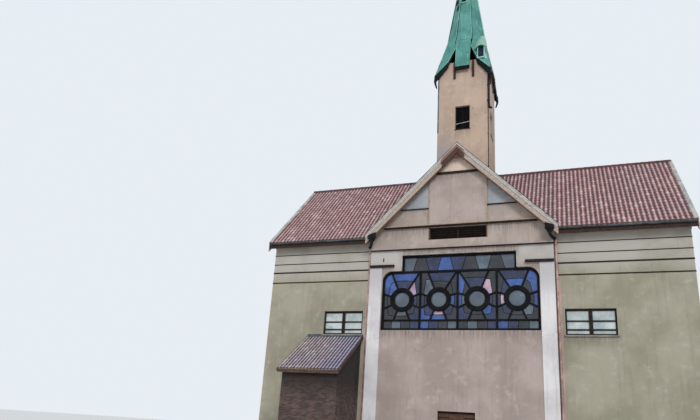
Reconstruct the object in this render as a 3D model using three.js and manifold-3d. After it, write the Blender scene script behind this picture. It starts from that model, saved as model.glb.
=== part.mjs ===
// A rendered brick church on a cross plan: two long roofs that cross, a tall front gable with one wide
// stained-glass window, a square ridge turret under a green copper spire, and a brick lean-to.
// Millimetres, +Z up. The front faces -Y. The pieces are drawn from the middle of the front face, and the
// whole is then moved so that its origin is at ground level under the crossing of the two roofs.

import * as THREE from "three";
import { mergeVertices } from "three/addons/utils/BufferGeometryUtils.js";
import Module from "manifold-3d";

const wasm = await Module();
wasm.setup();

// Seats
const GAP = 0.3;

// The cross-shaped body
const BLOCK_HALF_WIDTH = 4700;
const WING_END = 10700;
const BODY_DEPTH = 10400;
const WING_SETBACK = 250;
const WALL = 450;
const WING_WALL = 400;
const FLOOR_TOP = 150;
const MIDDLE_Y = BODY_DEPTH / 2;

// The roofs, all at 45 degrees
const CROSS_RIDGE = 16600;
const MAIN_RIDGE = 17000;
const ROOF_THICKNESS = 300;
const VERGE_OVERHANG = 350;
const WING_VERGE_OVERHANG = 250;
const EAVE_OVERHANG = 250;
const WING_EAVE_OVERHANG = 400;

// The tiles' rolls, which run up the slopes, and the caps along the ridges
const TILE_ROLL = { pitch: 225, half: 75, height: 46 };
const ROLL_SUNK = 20;
const CAP_RADIUS = 115;
const CAP_RISE = 20;
const CAP_SIDES = 10;

// The front and rear windows, stepped up in the middle
const WINDOW_HALF_WIDTH = 4000;
const WINDOW_SILL = 6600;
const WINDOW_SHOULDER = 9750;
const WINDOW_CORNER = 550;
const WINDOW_STEP_HALF_WIDTH = 2950;
const WINDOW_HEAD = 10600;
const GLASS = 30;
const GLASS_DEPTH = 200;
const TRACERY_DEPTH = 90;
const TRACERY_BAR = 110;
const ROSE_RADIUS = 640;
const ROSE_BAR = 130;
const ROSE_HEIGHT = 8220;
const ROSES = 4;

// The slot under the gable ledge
const LOUVRE_HALF_WIDTH = 1500;
const LOUVRE_SILL = 11400;
const LOUVRE_HEAD = 12080;
const LOUVRE_FRAME = 70;
const LOUVRE_INSET = 120;
const LOUVRE_DEPTH = 160;
const SLAT_COUNT = 4;
const SLAT = 30;
const SLAT_TILT = -Math.PI / 5;

// The gable's ledges and panels
const LEDGE_Z = 12100;
const LEDGE_HEIGHT = 110;
const LEDGE_HALF_LENGTH = 4000;
const LEDGE_DEPTH = 140;
const STRING_Z = 10900;
const STRING_HEIGHT = 100;
const STRING_DEPTH = 90;
const BAY_HALF_WIDTH = 1500;
const BAY_DEPTH = 110;
const BAY_STRING_Z = 15050;
const BAY_STRING_HEIGHT = 110;
const CAP_Z = 9960;
const CAP_HEIGHT = 120;
const CAP_INNER = 3350;
const CAP_DEPTH = 130;
const BARGE_DEPTH = 460;
const BARGE_THICKNESS = 50;
const PANEL_Z = 13200;
const PANEL_DEPTH = 40;

// The entrance
const DOOR_HALF_WIDTH = 900;
const DOOR_HEAD = 2700;
const DOOR_LEAF = 60;
const DOOR_INSET = 180;

// The wing windows
const WING_WINDOW_CENTRE = 6200;
const WING_WINDOW_HALF_WIDTH = 1120;
const WING_WINDOW_SILL = 6430;
const WING_WINDOW_HEAD = 7680;
const WING_GLASS_INSET = 150;

// The turret
const TOWER_HALF = 1450;
const TOWER_FRONT = 1160;
const TOWER_WALL = 280;
const TOWER_TOP = 22900;
const BELFRY_HALF_WIDTH = 420;
const BELFRY_SILL = 18400;
const BELFRY_HEAD = 19900;
const TOWER_Y = TOWER_FRONT + TOWER_HALF;

// The spire: an octagon above, a tongue on each side and a broach on each corner
const SPIRE_FOLD = 24600;
const SPIRE_TIP = 32800;
const SPIRE_APOTHEM = 1190;
const SPIRE_SHEET = 60;
const TONGUE_HALF_WIDTH = 420;
const TONGUE_BOTTOM = 22500;
const TONGUE_REACH = 1640;
const BROACH_TOP = 25900;
const BROACH_TIP = 22120;
const BROACH_REACH = 1600;
const NOTCH_TOP = 24000;
const NOTCH_HALF_WIDTH = 460;
const NOTCH_MIDDLE = 22950;
const NOTCH_MIDDLE_X = 880;
const SPIRE_POINT = 360;
const SPIRE_LAP = 1;

// The finial
const FINIAL_SUNK = 150;
const SOCKET_RADIUS = 45;
const BALL_RADIUS = 170;
const CROSS_HEIGHT = 1300;
const CROSS_ARM = 330;
const CROSS_ARM_AT = 0.7;
const CROSS_BAR = 70;
const ROUND_SIDES = 12;
const BALL_RINGS = 10;

// The brick lean-to on the left wing
const ANNEX_LEFT = -8000;
const ANNEX_RIGHT = -5100;
const ANNEX_FRONT = -2750;
const ANNEX_WALL = 250;
const ANNEX_EAVE_Y = -2950;
const ANNEX_EAVE = 4200;
const ANNEX_TOP = 6300;
const ANNEX_ROOF_THICKNESS = 160;
const ANNEX_VERGE = 200;
const ANNEX_ROLL = { pitch: 175, half: 58, height: 34 };
const ANNEX_FASCIA = 150;
const ANNEX_FASCIA_THICKNESS = 40;

// The downpipes in the front corners
const PIPE_RADIUS = 60;
const PIPE_STAND_OFF = 15;
const PIPE_STRAP = 40;
const PIPE_TOP = 11200;
const PIPE_STRAPS = [0.15, 0.5, 0.85];

const ARC_STEPS = 8;

const church = new THREE.Group();

function material(hex, roughness, metalness = 0) {
  return () => new THREE.MeshStandardMaterial({ color: hex, roughness, metalness });
}

const render = material(0xb6a294, 0.9);
const towerRender = material(0xbea893, 0.9);
const brick = material(0x4f3c3a, 0.9);
const tiles = material(0x8a5a60, 0.8);
const annexTiles = material(0x7d7078, 0.8);
const copper = material(0x5c9a94, 0.55, 0.4);
const darkPaint = material(0x2c2624, 0.6);
const bargePaint = material(0xa08672, 0.7);
const glass = material(0x4a6cb0, 0.15);
const paleGlass = material(0xb8c4c4, 0.15);
const leadBars = material(0x141416, 0.5, 0.5);
const wood = material(0x4a3020, 0.7);
const concrete = material(0x8c8880, 0.9);
const pipeMetal = material(0xb5978e, 0.6, 0.3);

function add(name, geometry, makeMaterial) {
  const mesh = new THREE.Mesh(geometry, makeMaterial());
  mesh.name = name;
  church.add(mesh);
  return mesh;
}

// Shapes drawn in one plane and pushed along the third axis

const ALONG_Y = new THREE.Matrix4().makeBasis(
  new THREE.Vector3(1, 0, 0), new THREE.Vector3(0, 0, 1), new THREE.Vector3(0, -1, 0));
const ALONG_X = new THREE.Matrix4().makeBasis(
  new THREE.Vector3(0, 1, 0), new THREE.Vector3(0, 0, 1), new THREE.Vector3(1, 0, 0));

function outline(points) {
  return new THREE.Shape(points.map(([u, v]) => new THREE.Vector2(u, v)));
}

function pushed(shape, depth) {
  return new THREE.ExtrudeGeometry(shape, { depth, bevelEnabled: false, curveSegments: ARC_STEPS });
}

function alongY(shape, y0, y1) {
  return pushed(shape, y1 - y0).applyMatrix4(ALONG_Y).translate(0, y1, 0);
}

function alongX(shape, x0, x1) {
  return pushed(shape, x1 - x0).applyMatrix4(ALONG_X).translate(x0, 0, 0);
}

function block(x0, x1, y0, y1, z0, z1) {
  return new THREE.BoxGeometry(x1 - x0, y1 - y0, z1 - z0)
    .translate((x0 + x1) / 2, (y0 + y1) / 2, (z0 + z1) / 2);
}

// A mirrored copy, with its faces still pointing out
function mirrored(geometry, axis, about) {
  const copy = geometry.index ? geometry.toNonIndexed() : geometry.clone();
  const position = copy.attributes.position;
  for (let i = 0; i < position.count; i++) {
    position.setComponent(i, axis, 2 * about - position.getComponent(i, axis));
  }
  const a = new THREE.Vector3();
  const b = new THREE.Vector3();
  for (let i = 0; i < position.count; i += 3) {
    a.fromBufferAttribute(position, i);
    b.fromBufferAttribute(position, i + 1);
    position.setXYZ(i, b.x, b.y, b.z);
    position.setXYZ(i + 1, a.x, a.y, a.z);
  }
  return copy;
}

const mirroredX = (geometry) => mirrored(geometry, 0, 0);
const mirroredY = (geometry) => mirrored(geometry, 1, MIDDLE_Y);

// Joins and cuts

function solid(geometry) {
  const bare = new THREE.BufferGeometry();
  bare.setAttribute("position", geometry.attributes.position.clone());
  if (geometry.index) bare.setIndex(geometry.index.clone());
  const merged = mergeVertices(bare, 0.001);
  return new wasm.Manifold(new wasm.Mesh({
    numProp: 3,
    vertProperties: new Float32Array(merged.attributes.position.array),
    triVerts: new Uint32Array(merged.index.array),
  }));
}

function surface(manifold) {
  const mesh = manifold.getMesh();
  const geometry = new THREE.BufferGeometry();
  geometry.setAttribute("position", new THREE.BufferAttribute(new Float32Array(mesh.vertProperties), 3));
  geometry.setIndex(new THREE.BufferAttribute(new Uint32Array(mesh.triVerts), 1));
  return geometry;
}

function joined(geometries) {
  return surface(geometries.map(solid).reduce((whole, piece) => whole.add(piece)));
}

function cut(geometry, cutters) {
  return surface(cutters.map(solid).reduce((rest, cutter) => rest.subtract(cutter), solid(geometry)));
}

// The space under each roof's top face, raised by a seat's gap

const CROSS_EAVE_X = BLOCK_HALF_WIDTH + EAVE_OVERHANG;
const MAIN_EAVE_Y = WING_SETBACK - WING_EAVE_OVERHANG;

function crossRoofBody(rise) {
  const top = CROSS_RIDGE + rise;
  const half = 2 * CROSS_EAVE_X;
  const shape = outline([[-half, top - half], [half, top - half], [0, top]]);
  return alongY(shape, -WING_END, BODY_DEPTH + WING_END);
}

function mainRoofBody(rise) {
  const top = MAIN_RIDGE + rise;
  const half = 2 * MIDDLE_Y;
  const shape = outline([[MIDDLE_Y - half, top - half], [MIDDLE_Y + half, top - half], [MIDDLE_Y, top]]);
  return alongX(shape, -2 * WING_END, 2 * WING_END);
}

// The window's stepped outline, with round shoulders
function windowOutline(inset = 0) {
  const half = WINDOW_HALF_WIDTH - inset;
  const shoulder = WINDOW_SHOULDER - inset;
  const step = WINDOW_STEP_HALF_WIDTH - inset;
  const radius = WINDOW_CORNER - inset;
  const shape = new THREE.Shape();
  shape.moveTo(-half, WINDOW_SILL + inset);
  shape.lineTo(half, WINDOW_SILL + inset);
  shape.lineTo(half, shoulder - radius);
  shape.absarc(half - radius, shoulder - radius, radius, 0, Math.PI / 2, false);
  shape.lineTo(step, shoulder);
  shape.lineTo(step, WINDOW_HEAD - inset);
  shape.lineTo(-step, WINDOW_HEAD - inset);
  shape.lineTo(-step, shoulder);
  shape.absarc(-half + radius, shoulder - radius, radius, Math.PI / 2, Math.PI, false);
  shape.lineTo(-half, WINDOW_SILL + inset);
  return shape;
}

// The gabled wall above the window sill, under the cross roof
function gabledWall(openings) {
  const apex = CROSS_RIDGE - ROOF_THICKNESS - GAP;
  const shape = outline([
    [-BLOCK_HALF_WIDTH, WINDOW_SILL + GAP],
    [BLOCK_HALF_WIDTH, WINDOW_SILL + GAP],
    [BLOCK_HALF_WIDTH, apex - BLOCK_HALF_WIDTH],
    [0, apex],
    [-BLOCK_HALF_WIDTH, apex - BLOCK_HALF_WIDTH],
  ]);
  return cut(alongY(shape, 0, WALL), openings);
}

function floor() {
  const inner = BLOCK_HALF_WIDTH - WALL;
  const wingInner = WING_SETBACK + WING_WALL + GAP;
  const end = WING_END - WING_WALL - GAP;
  const slab = outline([
    [-inner, WALL + GAP], [inner, WALL + GAP],
    [inner, wingInner], [end, wingInner],
    [end, BODY_DEPTH - wingInner], [inner, BODY_DEPTH - wingInner],
    [inner, BODY_DEPTH - WALL - GAP], [-inner, BODY_DEPTH - WALL - GAP],
    [-inner, BODY_DEPTH - wingInner], [-end, BODY_DEPTH - wingInner],
    [-end, wingInner], [-inner, wingInner],
  ]);
  add("floor_slab", pushed(slab, FLOOR_TOP), concrete);
}

function frontWalls() {
  const base = block(-BLOCK_HALF_WIDTH, -DOOR_HALF_WIDTH - GAP, 0, WALL, 0, WINDOW_SILL);
  add("front_wall_lower_left", base, render);
  add("front_wall_lower_right", mirroredX(base), render);
  const lintel = block(-DOOR_HALF_WIDTH, DOOR_HALF_WIDTH, 0, WALL, DOOR_HEAD, WINDOW_SILL);
  add("front_door_lintel_wall", lintel, render);
  const louvreHole = block(-LOUVRE_HALF_WIDTH, LOUVRE_HALF_WIDTH, -WALL, 2 * WALL, LOUVRE_SILL, LOUVRE_HEAD);
  add("front_gable_wall", gabledWall([...windowHoles(), louvreHole]), render);
}

// The window's hole, and a block that clears its foot down to the wall below
function windowHoles() {
  return [
    alongY(windowOutline(), -WALL, 2 * WALL),
    block(-WINDOW_HALF_WIDTH, WINDOW_HALF_WIDTH, -WALL, 2 * WALL, 0, WINDOW_SILL + WALL),
  ];
}

function rearWalls() {
  const base = block(-BLOCK_HALF_WIDTH, BLOCK_HALF_WIDTH, 0, WALL, 0, WINDOW_SILL);
  add("rear_wall_lower", mirroredY(base), render);
  add("rear_gable_wall", mirroredY(gabledWall(windowHoles())), render);
}

// The wing wall above the window sill, with its window, its top cut to the slope of the roof
function wingUpperWall() {
  const hole = block(
    -WING_WINDOW_CENTRE - WING_WINDOW_HALF_WIDTH, -WING_WINDOW_CENTRE + WING_WINDOW_HALF_WIDTH,
    -WALL, 2 * WING_WALL, 0, WING_WINDOW_HEAD);
  const foot = WING_WINDOW_SILL + GAP;
  const inner = WING_SETBACK + WING_WALL;
  const slope = MAIN_RIDGE - ROOF_THICKNESS - GAP - MIDDLE_Y;
  const profile = outline([
    [WING_SETBACK, foot], [inner, foot], [inner, slope + inner], [WING_SETBACK, slope + WING_SETBACK],
  ]);
  return cut(alongX(profile, -WING_END + WING_WALL + GAP, -BLOCK_HALF_WIDTH - GAP), [hole]);
}

// The same wall piece on each side, in front and at the rear
function onFourWingWalls(storey, piece) {
  add(`left_wing_front_wall_${storey}`, piece, render);
  add(`right_wing_front_wall_${storey}`, mirroredX(piece), render);
  add(`left_wing_rear_wall_${storey}`, mirroredY(piece), render);
  add(`right_wing_rear_wall_${storey}`, mirroredX(mirroredY(piece)), render);
}

function wingWalls() {
  onFourWingWalls("lower", block(-WING_END + WING_WALL + GAP, -BLOCK_HALF_WIDTH - GAP,
    WING_SETBACK, WING_SETBACK + WING_WALL, 0, WING_WINDOW_SILL));
  onFourWingWalls("upper", wingUpperWall());
  const apex = MAIN_RIDGE - ROOF_THICKNESS - GAP;
  const half = MIDDLE_Y - WING_SETBACK;
  const shape = outline([
    [WING_SETBACK, 0], [BODY_DEPTH - WING_SETBACK, 0],
    [BODY_DEPTH - WING_SETBACK, apex - half], [MIDDLE_Y, apex], [WING_SETBACK, apex - half],
  ]);
  const end = alongX(shape, -WING_END, -WING_END + WING_WALL);
  add("left_wing_end_wall", end, render);
  add("right_wing_end_wall", mirroredX(end), render);
}

// A bent roof slab: both slopes in one piece, as the section of a gabled roof
function roofSection(middle, ridge, half) {
  return outline([
    [middle - half, ridge - half - ROOF_THICKNESS], [middle, ridge - ROOF_THICKNESS],
    [middle + half, ridge - half - ROOF_THICKNESS], [middle + half, ridge - half],
    [middle, ridge], [middle - half, ridge - half],
  ]);
}

// A tile roll of triangular section on a roof's line of [run, z] points, its foot sunk in the slab
function roll(across, size, line, slope) {
  const crest = size.height * Math.hypot(1, slope);
  const points = line.flatMap(([run, z]) => [
    new THREE.Vector3(across - size.half, run, z - ROLL_SUNK),
    new THREE.Vector3(across + size.half, run, z - ROLL_SUNK),
    new THREE.Vector3(across, run, z + crest),
  ]);
  const last = points.length - 3;
  const index = [0, 1, 2, last, last + 2, last + 1];
  for (let k = 0; k < last; k += 3) {
    for (const [a, b] of [[0, 1], [1, 2], [2, 0]]) {
      index.push(k + a, k + 3 + a, k + 3 + b, k + a, k + 3 + b, k + b);
    }
  }
  return indexed(points, index);
}

// The rolls of a roof from one end to the other, at a pitch that divides it evenly
function rolls(start, end, size, line, slope) {
  const count = Math.round((end - start) / size.pitch);
  const step = (end - start) / count;
  return Array.from({ length: count }, (_, i) => roll(start + (i + 0.5) * step, size, line, slope));
}

function gabledLine(middle, ridge, half) {
  return [[middle - half, ridge - half], [middle, ridge], [middle + half, ridge - half]];
}

function ridgeCap(start, end) {
  return new THREE.CylinderGeometry(CAP_RADIUS, CAP_RADIUS, end - start, CAP_SIDES)
    .translate(0, (start + end) / 2, CAP_RISE);
}

// A slab with its rolls and its ridge cap, both kept clear of some bodies, the whole cut by others
function tiled(slab, relief, clearances, cutters) {
  const raised = relief.map(solid).reduce((whole, piece) => whole.add(piece));
  const cleared = clearances.map(solid).reduce((rest, body) => rest.subtract(body), raised);
  return cutters.map(solid).reduce((rest, body) => rest.subtract(body), solid(slab).add(cleared));
}

// The room that the turret takes on the roofs
function towerRoom() {
  const half = TOWER_HALF + GAP;
  return block(-half, half, TOWER_FRONT - GAP, TOWER_FRONT + 2 * TOWER_HALF + GAP, 0, TOWER_TOP);
}

function gableRoof(clearances) {
  const slab = alongY(roofSection(0, CROSS_RIDGE, CROSS_EAVE_X), -VERGE_OVERHANG, MIDDLE_Y);
  const meet = MIDDLE_Y - (MAIN_RIDGE - CROSS_RIDGE);
  const relief = rolls(-VERGE_OVERHANG, meet, TILE_ROLL, gabledLine(0, CROSS_RIDGE, CROSS_EAVE_X), 1)
    .map((piece) => piece.rotateZ(Math.PI / 2));
  relief.push(ridgeCap(-VERGE_OVERHANG, meet).translate(0, 0, CROSS_RIDGE));
  const whole = tiled(slab, relief, clearances, [mainRoofBody(GAP)]);
  return surface(whole.intersect(solid(betweenValleys(2 * GAP))));
}

function wingRoof() {
  const verge = -WING_END - WING_VERGE_OVERHANG;
  const half = MIDDLE_Y - MAIN_EAVE_Y;
  const slab = alongX(roofSection(MIDDLE_Y, MAIN_RIDGE, half), verge, -GAP / 2);
  const relief = rolls(verge, 0, TILE_ROLL, gabledLine(MIDDLE_Y, MAIN_RIDGE, half), 1);
  relief.push(ridgeCap(GAP / 2, -verge).rotateZ(Math.PI / 2).translate(0, MIDDLE_Y, MAIN_RIDGE));
  const valleys = [betweenValleys(0), mirroredY(betweenValleys(0))];
  return surface(tiled(slab, relief, [towerRoom()], [crossRoofBody(-ROOF_THICKNESS), ...valleys]));
}

function roofs() {
  add("front_gable_roof", gableRoof([towerRoom()]), tiles);
  add("rear_gable_roof", mirroredY(gableRoof([])), tiles);
  const wing = wingRoof();
  add("left_wing_roof", wing, tiles);
  add("right_wing_roof", mirroredX(wing), tiles);
}

// Everything between the two valleys in front, where the gable roof takes over from the wings, drawn back
// from the valleys by an inset
function betweenValleys(inset) {
  const meet = MIDDLE_Y - (MAIN_RIDGE - CROSS_RIDGE) - inset;
  const reach = 2 * CROSS_EAVE_X;
  const plan = outline([[-reach, meet - reach], [reach, meet - reach], [0, meet]]);
  return pushed(plan, MAIN_RIDGE);
}

// A board that follows a roof's two slopes below its verge
function bargeBoard(middle, ridge, half) {
  return outline([
    [middle - half, ridge - half - BARGE_DEPTH], [middle, ridge - BARGE_DEPTH],
    [middle + half, ridge - half - BARGE_DEPTH], [middle + half, ridge - half],
    [middle, ridge], [middle - half, ridge - half],
  ]);
}

function bargeBoards() {
  const front = alongY(bargeBoard(0, CROSS_RIDGE, CROSS_EAVE_X),
    -VERGE_OVERHANG - GAP - BARGE_THICKNESS, -VERGE_OVERHANG - GAP);
  add("front_barge_board", front, bargePaint);
  add("rear_barge_board", mirroredY(front), bargePaint);
  const verge = -WING_END - WING_VERGE_OVERHANG - GAP;
  const wing = bargeBoard(MIDDLE_Y, MAIN_RIDGE, MIDDLE_Y - MAIN_EAVE_Y);
  const left = alongX(wing, verge - BARGE_THICKNESS, verge);
  add("left_wing_barge_board", left, bargePaint);
  add("right_wing_barge_board", mirroredX(left), bargePaint);
}

function gableLedges() {
  add("gable_ledge", block(-LEDGE_HALF_LENGTH, LEDGE_HALF_LENGTH, -LEDGE_DEPTH, -GAP,
    LEDGE_Z, LEDGE_Z + LEDGE_HEIGHT), darkPaint);
  add("front_string_course", block(-BLOCK_HALF_WIDTH, BLOCK_HALF_WIDTH, -STRING_DEPTH, -GAP,
    STRING_Z, STRING_Z + STRING_HEIGHT), render);
  const cap = block(-BLOCK_HALF_WIDTH, -CAP_INNER, -CAP_DEPTH, -GAP, CAP_Z, CAP_Z + CAP_HEIGHT);
  add("left_pier_cap", cap, darkPaint);
  add("right_pier_cap", mirroredX(cap), darkPaint);
}

// The proud middle strip of the gable, its head above a string, and the flat panels beside it
function gableBay() {
  const underside = CROSS_RIDGE - ROOF_THICKNESS - GAP;
  const foot = LEDGE_Z + LEDGE_HEIGHT + GAP;
  const shoulder = underside - BAY_HALF_WIDTH;
  const top = BAY_STRING_Z - GAP;
  const bay = outline([
    [-BAY_HALF_WIDTH, foot], [BAY_HALF_WIDTH, foot], [BAY_HALF_WIDTH, shoulder],
    [underside - top, top], [top - underside, top], [-BAY_HALF_WIDTH, shoulder],
  ]);
  add("gable_bay", alongY(bay, -BAY_DEPTH, -GAP), render);
  const inner = BAY_HALF_WIDTH + GAP;
  const side = outline([[-inner, PANEL_Z], [-inner, underside - inner], [PANEL_Z - underside, PANEL_Z]]);
  const panel = alongY(side, -PANEL_DEPTH, -GAP);
  add("gable_left_panel", panel, render);
  add("gable_right_panel", mirroredX(panel), render);
  const stringTop = BAY_STRING_Z + BAY_STRING_HEIGHT;
  const stringHalf = underside - stringTop;
  add("gable_bay_string", block(-stringHalf, stringHalf, -BAY_DEPTH - LEDGE_HEIGHT / 2, -GAP,
    BAY_STRING_Z, stringTop), darkPaint);
  const head = outline([
    [-stringHalf + GAP, stringTop + GAP], [stringHalf - GAP, stringTop + GAP], [0, underside],
  ]);
  add("gable_bay_head", alongY(head, -BAY_DEPTH, -GAP), render);
}

function louvre() {
  const frame = LOUVRE_FRAME;
  const half = LOUVRE_HALF_WIDTH - GAP;
  const low = LOUVRE_SILL + GAP;
  const high = LOUVRE_HEAD - GAP;
  const y0 = LOUVRE_INSET;
  const y1 = y0 + LOUVRE_DEPTH;
  const pieces = [
    block(-half, half, y0, y1, low, low + frame),
    block(-half, half, y0, y1, high - frame, high),
    block(-half, -half + frame, y0, y1, low, high),
    block(half - frame, half, y0, y1, low, high),
    block(-frame / 2, frame / 2, y0, y1, low, high),
  ];
  const step = (high - low - 2 * frame) / SLAT_COUNT;
  for (let i = 0; i < SLAT_COUNT; i++) {
    const z = low + frame + step * (i + 0.5);
    const slat = new THREE.BoxGeometry(2 * half - frame, LOUVRE_DEPTH, SLAT).rotateX(SLAT_TILT);
    pieces.push(slat.translate(0, (y0 + y1) / 2, z));
  }
  const space = block(-half, half, y0, y1, low, high);
  add("gable_louvre", surface(solid(joined(pieces)).intersect(solid(space))), darkPaint);
}

// Flat bars and rings in front of the glass
function ring(x, z, radius, bar, y0, y1) {
  const shape = new THREE.Shape();
  shape.absarc(x, z, radius, 0, 2 * Math.PI, false);
  const hole = new THREE.Path();
  hole.absarc(x, z, radius - bar, 0, 2 * Math.PI, true);
  shape.holes.push(hole);
  const settings = { depth: y1 - y0, bevelEnabled: false, curveSegments: 3 * ARC_STEPS };
  return new THREE.ExtrudeGeometry(shape, settings).applyMatrix4(ALONG_Y).translate(0, y1, 0);
}

function tracery() {
  const y1 = GLASS_DEPTH;
  const y0 = y1 - TRACERY_DEPTH;
  const frame = windowOutline(GAP);
  frame.holes.push(windowOutline(TRACERY_BAR));
  const bars = [alongY(frame, y0, y1)];
  const spacing = 2 * (WINDOW_HALF_WIDTH - TRACERY_BAR) / ROSES;
  for (let i = 0; i < ROSES; i++) {
    const x = (i - (ROSES - 1) / 2) * spacing;
    bars.push(ring(x, ROSE_HEIGHT, ROSE_RADIUS, ROSE_BAR, y0, y1));
    bars.push(block(x - TRACERY_BAR / 4, x + TRACERY_BAR / 4, y0, y1, WINDOW_SILL + TRACERY_BAR / 2,
      ROSE_HEIGHT - ROSE_RADIUS + ROSE_BAR / 2));
  }
  const mullionTop = WINDOW_SHOULDER - WINDOW_CORNER;
  for (let i = 0; i <= ROSES; i++) {
    const x = (i - ROSES / 2) * spacing;
    bars.push(block(x - TRACERY_BAR / 2, x + TRACERY_BAR / 2, y0, y1, WINDOW_SILL + GAP, mullionTop));
  }
  const reach = WINDOW_HALF_WIDTH - TRACERY_BAR / 2;
  const lowBar = (WINDOW_SILL + ROSE_HEIGHT - ROSE_RADIUS) / 2;
  for (const z of [ROSE_HEIGHT, WINDOW_SHOULDER - TRACERY_BAR, lowBar]) {
    const half = z > WINDOW_SHOULDER - WINDOW_CORNER ? WINDOW_STEP_HALF_WIDTH : reach;
    bars.push(block(-half, half, y0, y1, z - TRACERY_BAR / 4, z + TRACERY_BAR / 4));
  }
  return joined(bars);
}

function bigWindows() {
  const bars = tracery();
  add("front_window_tracery", bars, leadBars);
  add("rear_window_tracery", mirroredY(bars), leadBars);
  const sheet = alongY(windowOutline(GAP), GLASS_DEPTH + GAP, GLASS_DEPTH + GLASS);
  add("front_window_glass", sheet, glass);
  add("rear_window_glass", mirroredY(sheet), glass);
}

function wingWindows() {
  const inset = WING_SETBACK + WING_GLASS_INSET;
  const pane = block(
    -WING_WINDOW_CENTRE - WING_WINDOW_HALF_WIDTH + GAP, -WING_WINDOW_CENTRE + WING_WINDOW_HALF_WIDTH - GAP,
    inset, inset + 2 * GLASS, WING_WINDOW_SILL + GAP, WING_WINDOW_HEAD - GAP);
  add("left_wing_front_window", pane, paleGlass);
  add("right_wing_front_window", mirroredX(pane), paleGlass);
  add("left_wing_rear_window", mirroredY(pane), paleGlass);
  add("right_wing_rear_window", mirroredX(mirroredY(pane)), paleGlass);
}

function entrance() {
  const leaf = block(-DOOR_HALF_WIDTH + GAP, -GAP, DOOR_INSET, DOOR_INSET + DOOR_LEAF, 0, DOOR_HEAD - GAP);
  add("front_door_left_leaf", leaf, wood);
  add("front_door_right_leaf", mirroredX(leaf), wood);
}

// The turret's walls stand on the roof slopes and end under the spire's skirt
function towerWalls() {
  const cutters = [crossRoofBody(GAP), mainRoofBody(GAP), ...[0, 1, 2, 3].map(broachCutter)];
  const inner = TOWER_HALF - TOWER_WALL;
  const base = CROSS_RIDGE - 2 * TOWER_HALF;
  const front = block(-TOWER_HALF, TOWER_HALF, TOWER_FRONT, TOWER_FRONT + TOWER_WALL, base, TOWER_TOP);
  const side = block(-TOWER_HALF, -inner, TOWER_Y - inner + GAP, TOWER_Y + inner - GAP, base, TOWER_TOP);
  const rear = mirrored(front, 1, TOWER_Y);
  const hole = block(-BELFRY_HALF_WIDTH, BELFRY_HALF_WIDTH, 0, BODY_DEPTH, BELFRY_SILL, BELFRY_HEAD);
  const sideHole = block(-WING_END, WING_END, TOWER_Y - BELFRY_HALF_WIDTH, TOWER_Y + BELFRY_HALF_WIDTH,
    BELFRY_SILL, BELFRY_HEAD);
  add("tower_front_wall", cut(front, [...cutters, hole]), towerRender);
  add("tower_rear_wall", cut(rear, [...cutters, hole]), towerRender);
  add("tower_left_wall", cut(side, [...cutters, sideHole]), towerRender);
  add("tower_right_wall", cut(mirroredX(side), [...cutters, sideHole]), towerRender);
}

// A mesh from corners and triples of their numbers
function indexed(points, index) {
  const geometry = new THREE.BufferGeometry();
  const places = new Float32Array(points.flatMap((p) => [p.x, p.y, p.z]));
  geometry.setAttribute("position", new THREE.BufferAttribute(places, 3));
  geometry.setIndex(index);
  return geometry;
}

// A closed body between a fan of points and the same points moved, both given as lists of corners
function slabFrom(outer, move, faces) {
  const points = [...outer, ...outer.map((p) => p.clone().add(move))];
  const n = outer.length;
  const index = [];
  for (const [a, b, c] of faces) {
    index.push(a, b, c, c + n, b + n, a + n);
  }
  for (let i = 0; i < n; i++) {
    const j = (i + 1) % n;
    index.push(j, i, i + n, j, i + n, j + n);
  }
  return indexed(points, index);
}

// A broach: the folded corner of the spire's skirt, on the corner that a number of quarter turns gives,
// between two depths behind its outer face
function broach(quarter, start, end) {
  const atTop = apothemAt(BROACH_TOP) / Math.SQRT2;
  const top = new THREE.Vector3(atTop, -atTop, BROACH_TOP);
  const tip = new THREE.Vector3(BROACH_REACH, -BROACH_REACH, BROACH_TIP);
  const notch = new THREE.Vector3(NOTCH_HALF_WIDTH, -apothemAt(NOTCH_TOP) - SPIRE_SHEET, NOTCH_TOP);
  const plane = new THREE.Plane().setFromCoplanarPoints(top, notch, tip);
  const { x: nx, y: ny, z: nz } = plane.normal;
  const middleY = -(plane.constant + nx * NOTCH_MIDDLE_X + nz * NOTCH_MIDDLE) / ny;
  const middle = new THREE.Vector3(NOTCH_MIDDLE_X, middleY, NOTCH_MIDDLE);
  const across = (p) => new THREE.Vector3(-p.y, -p.x, p.z);
  const outer = [top, notch, middle, tip, across(middle), across(notch)];
  const faces = [[0, 1, 2], [0, 2, 3], [0, 3, 4], [0, 4, 5]];
  const inward = new THREE.Vector3(-1, 1, 0).normalize();
  const near = outer.map((p) => p.clone().addScaledVector(inward, start));
  return slabFrom(near, inward.multiplyScalar(end - start), faces)
    .rotateZ((quarter * Math.PI) / 2)
    .translate(0, TOWER_Y, 0);
}

// All that lies outside a broach's underside
const broachCutter = (quarter) => broach(quarter, -TOWER_HALF, SPIRE_SHEET + GAP);

function apothemAt(z) {
  return SPIRE_APOTHEM * (SPIRE_TIP - z) / (SPIRE_TIP - SPIRE_FOLD);
}

function octagonCone(apothem, bottom, top) {
  const radius = apothem / Math.cos(Math.PI / 8);
  return new THREE.CylinderGeometry(0, radius, top - bottom, 8)
    .rotateY(Math.PI / 8)
    .rotateX(Math.PI / 2)
    .translate(0, TOWER_Y, (top + bottom) / 2);
}

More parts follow.
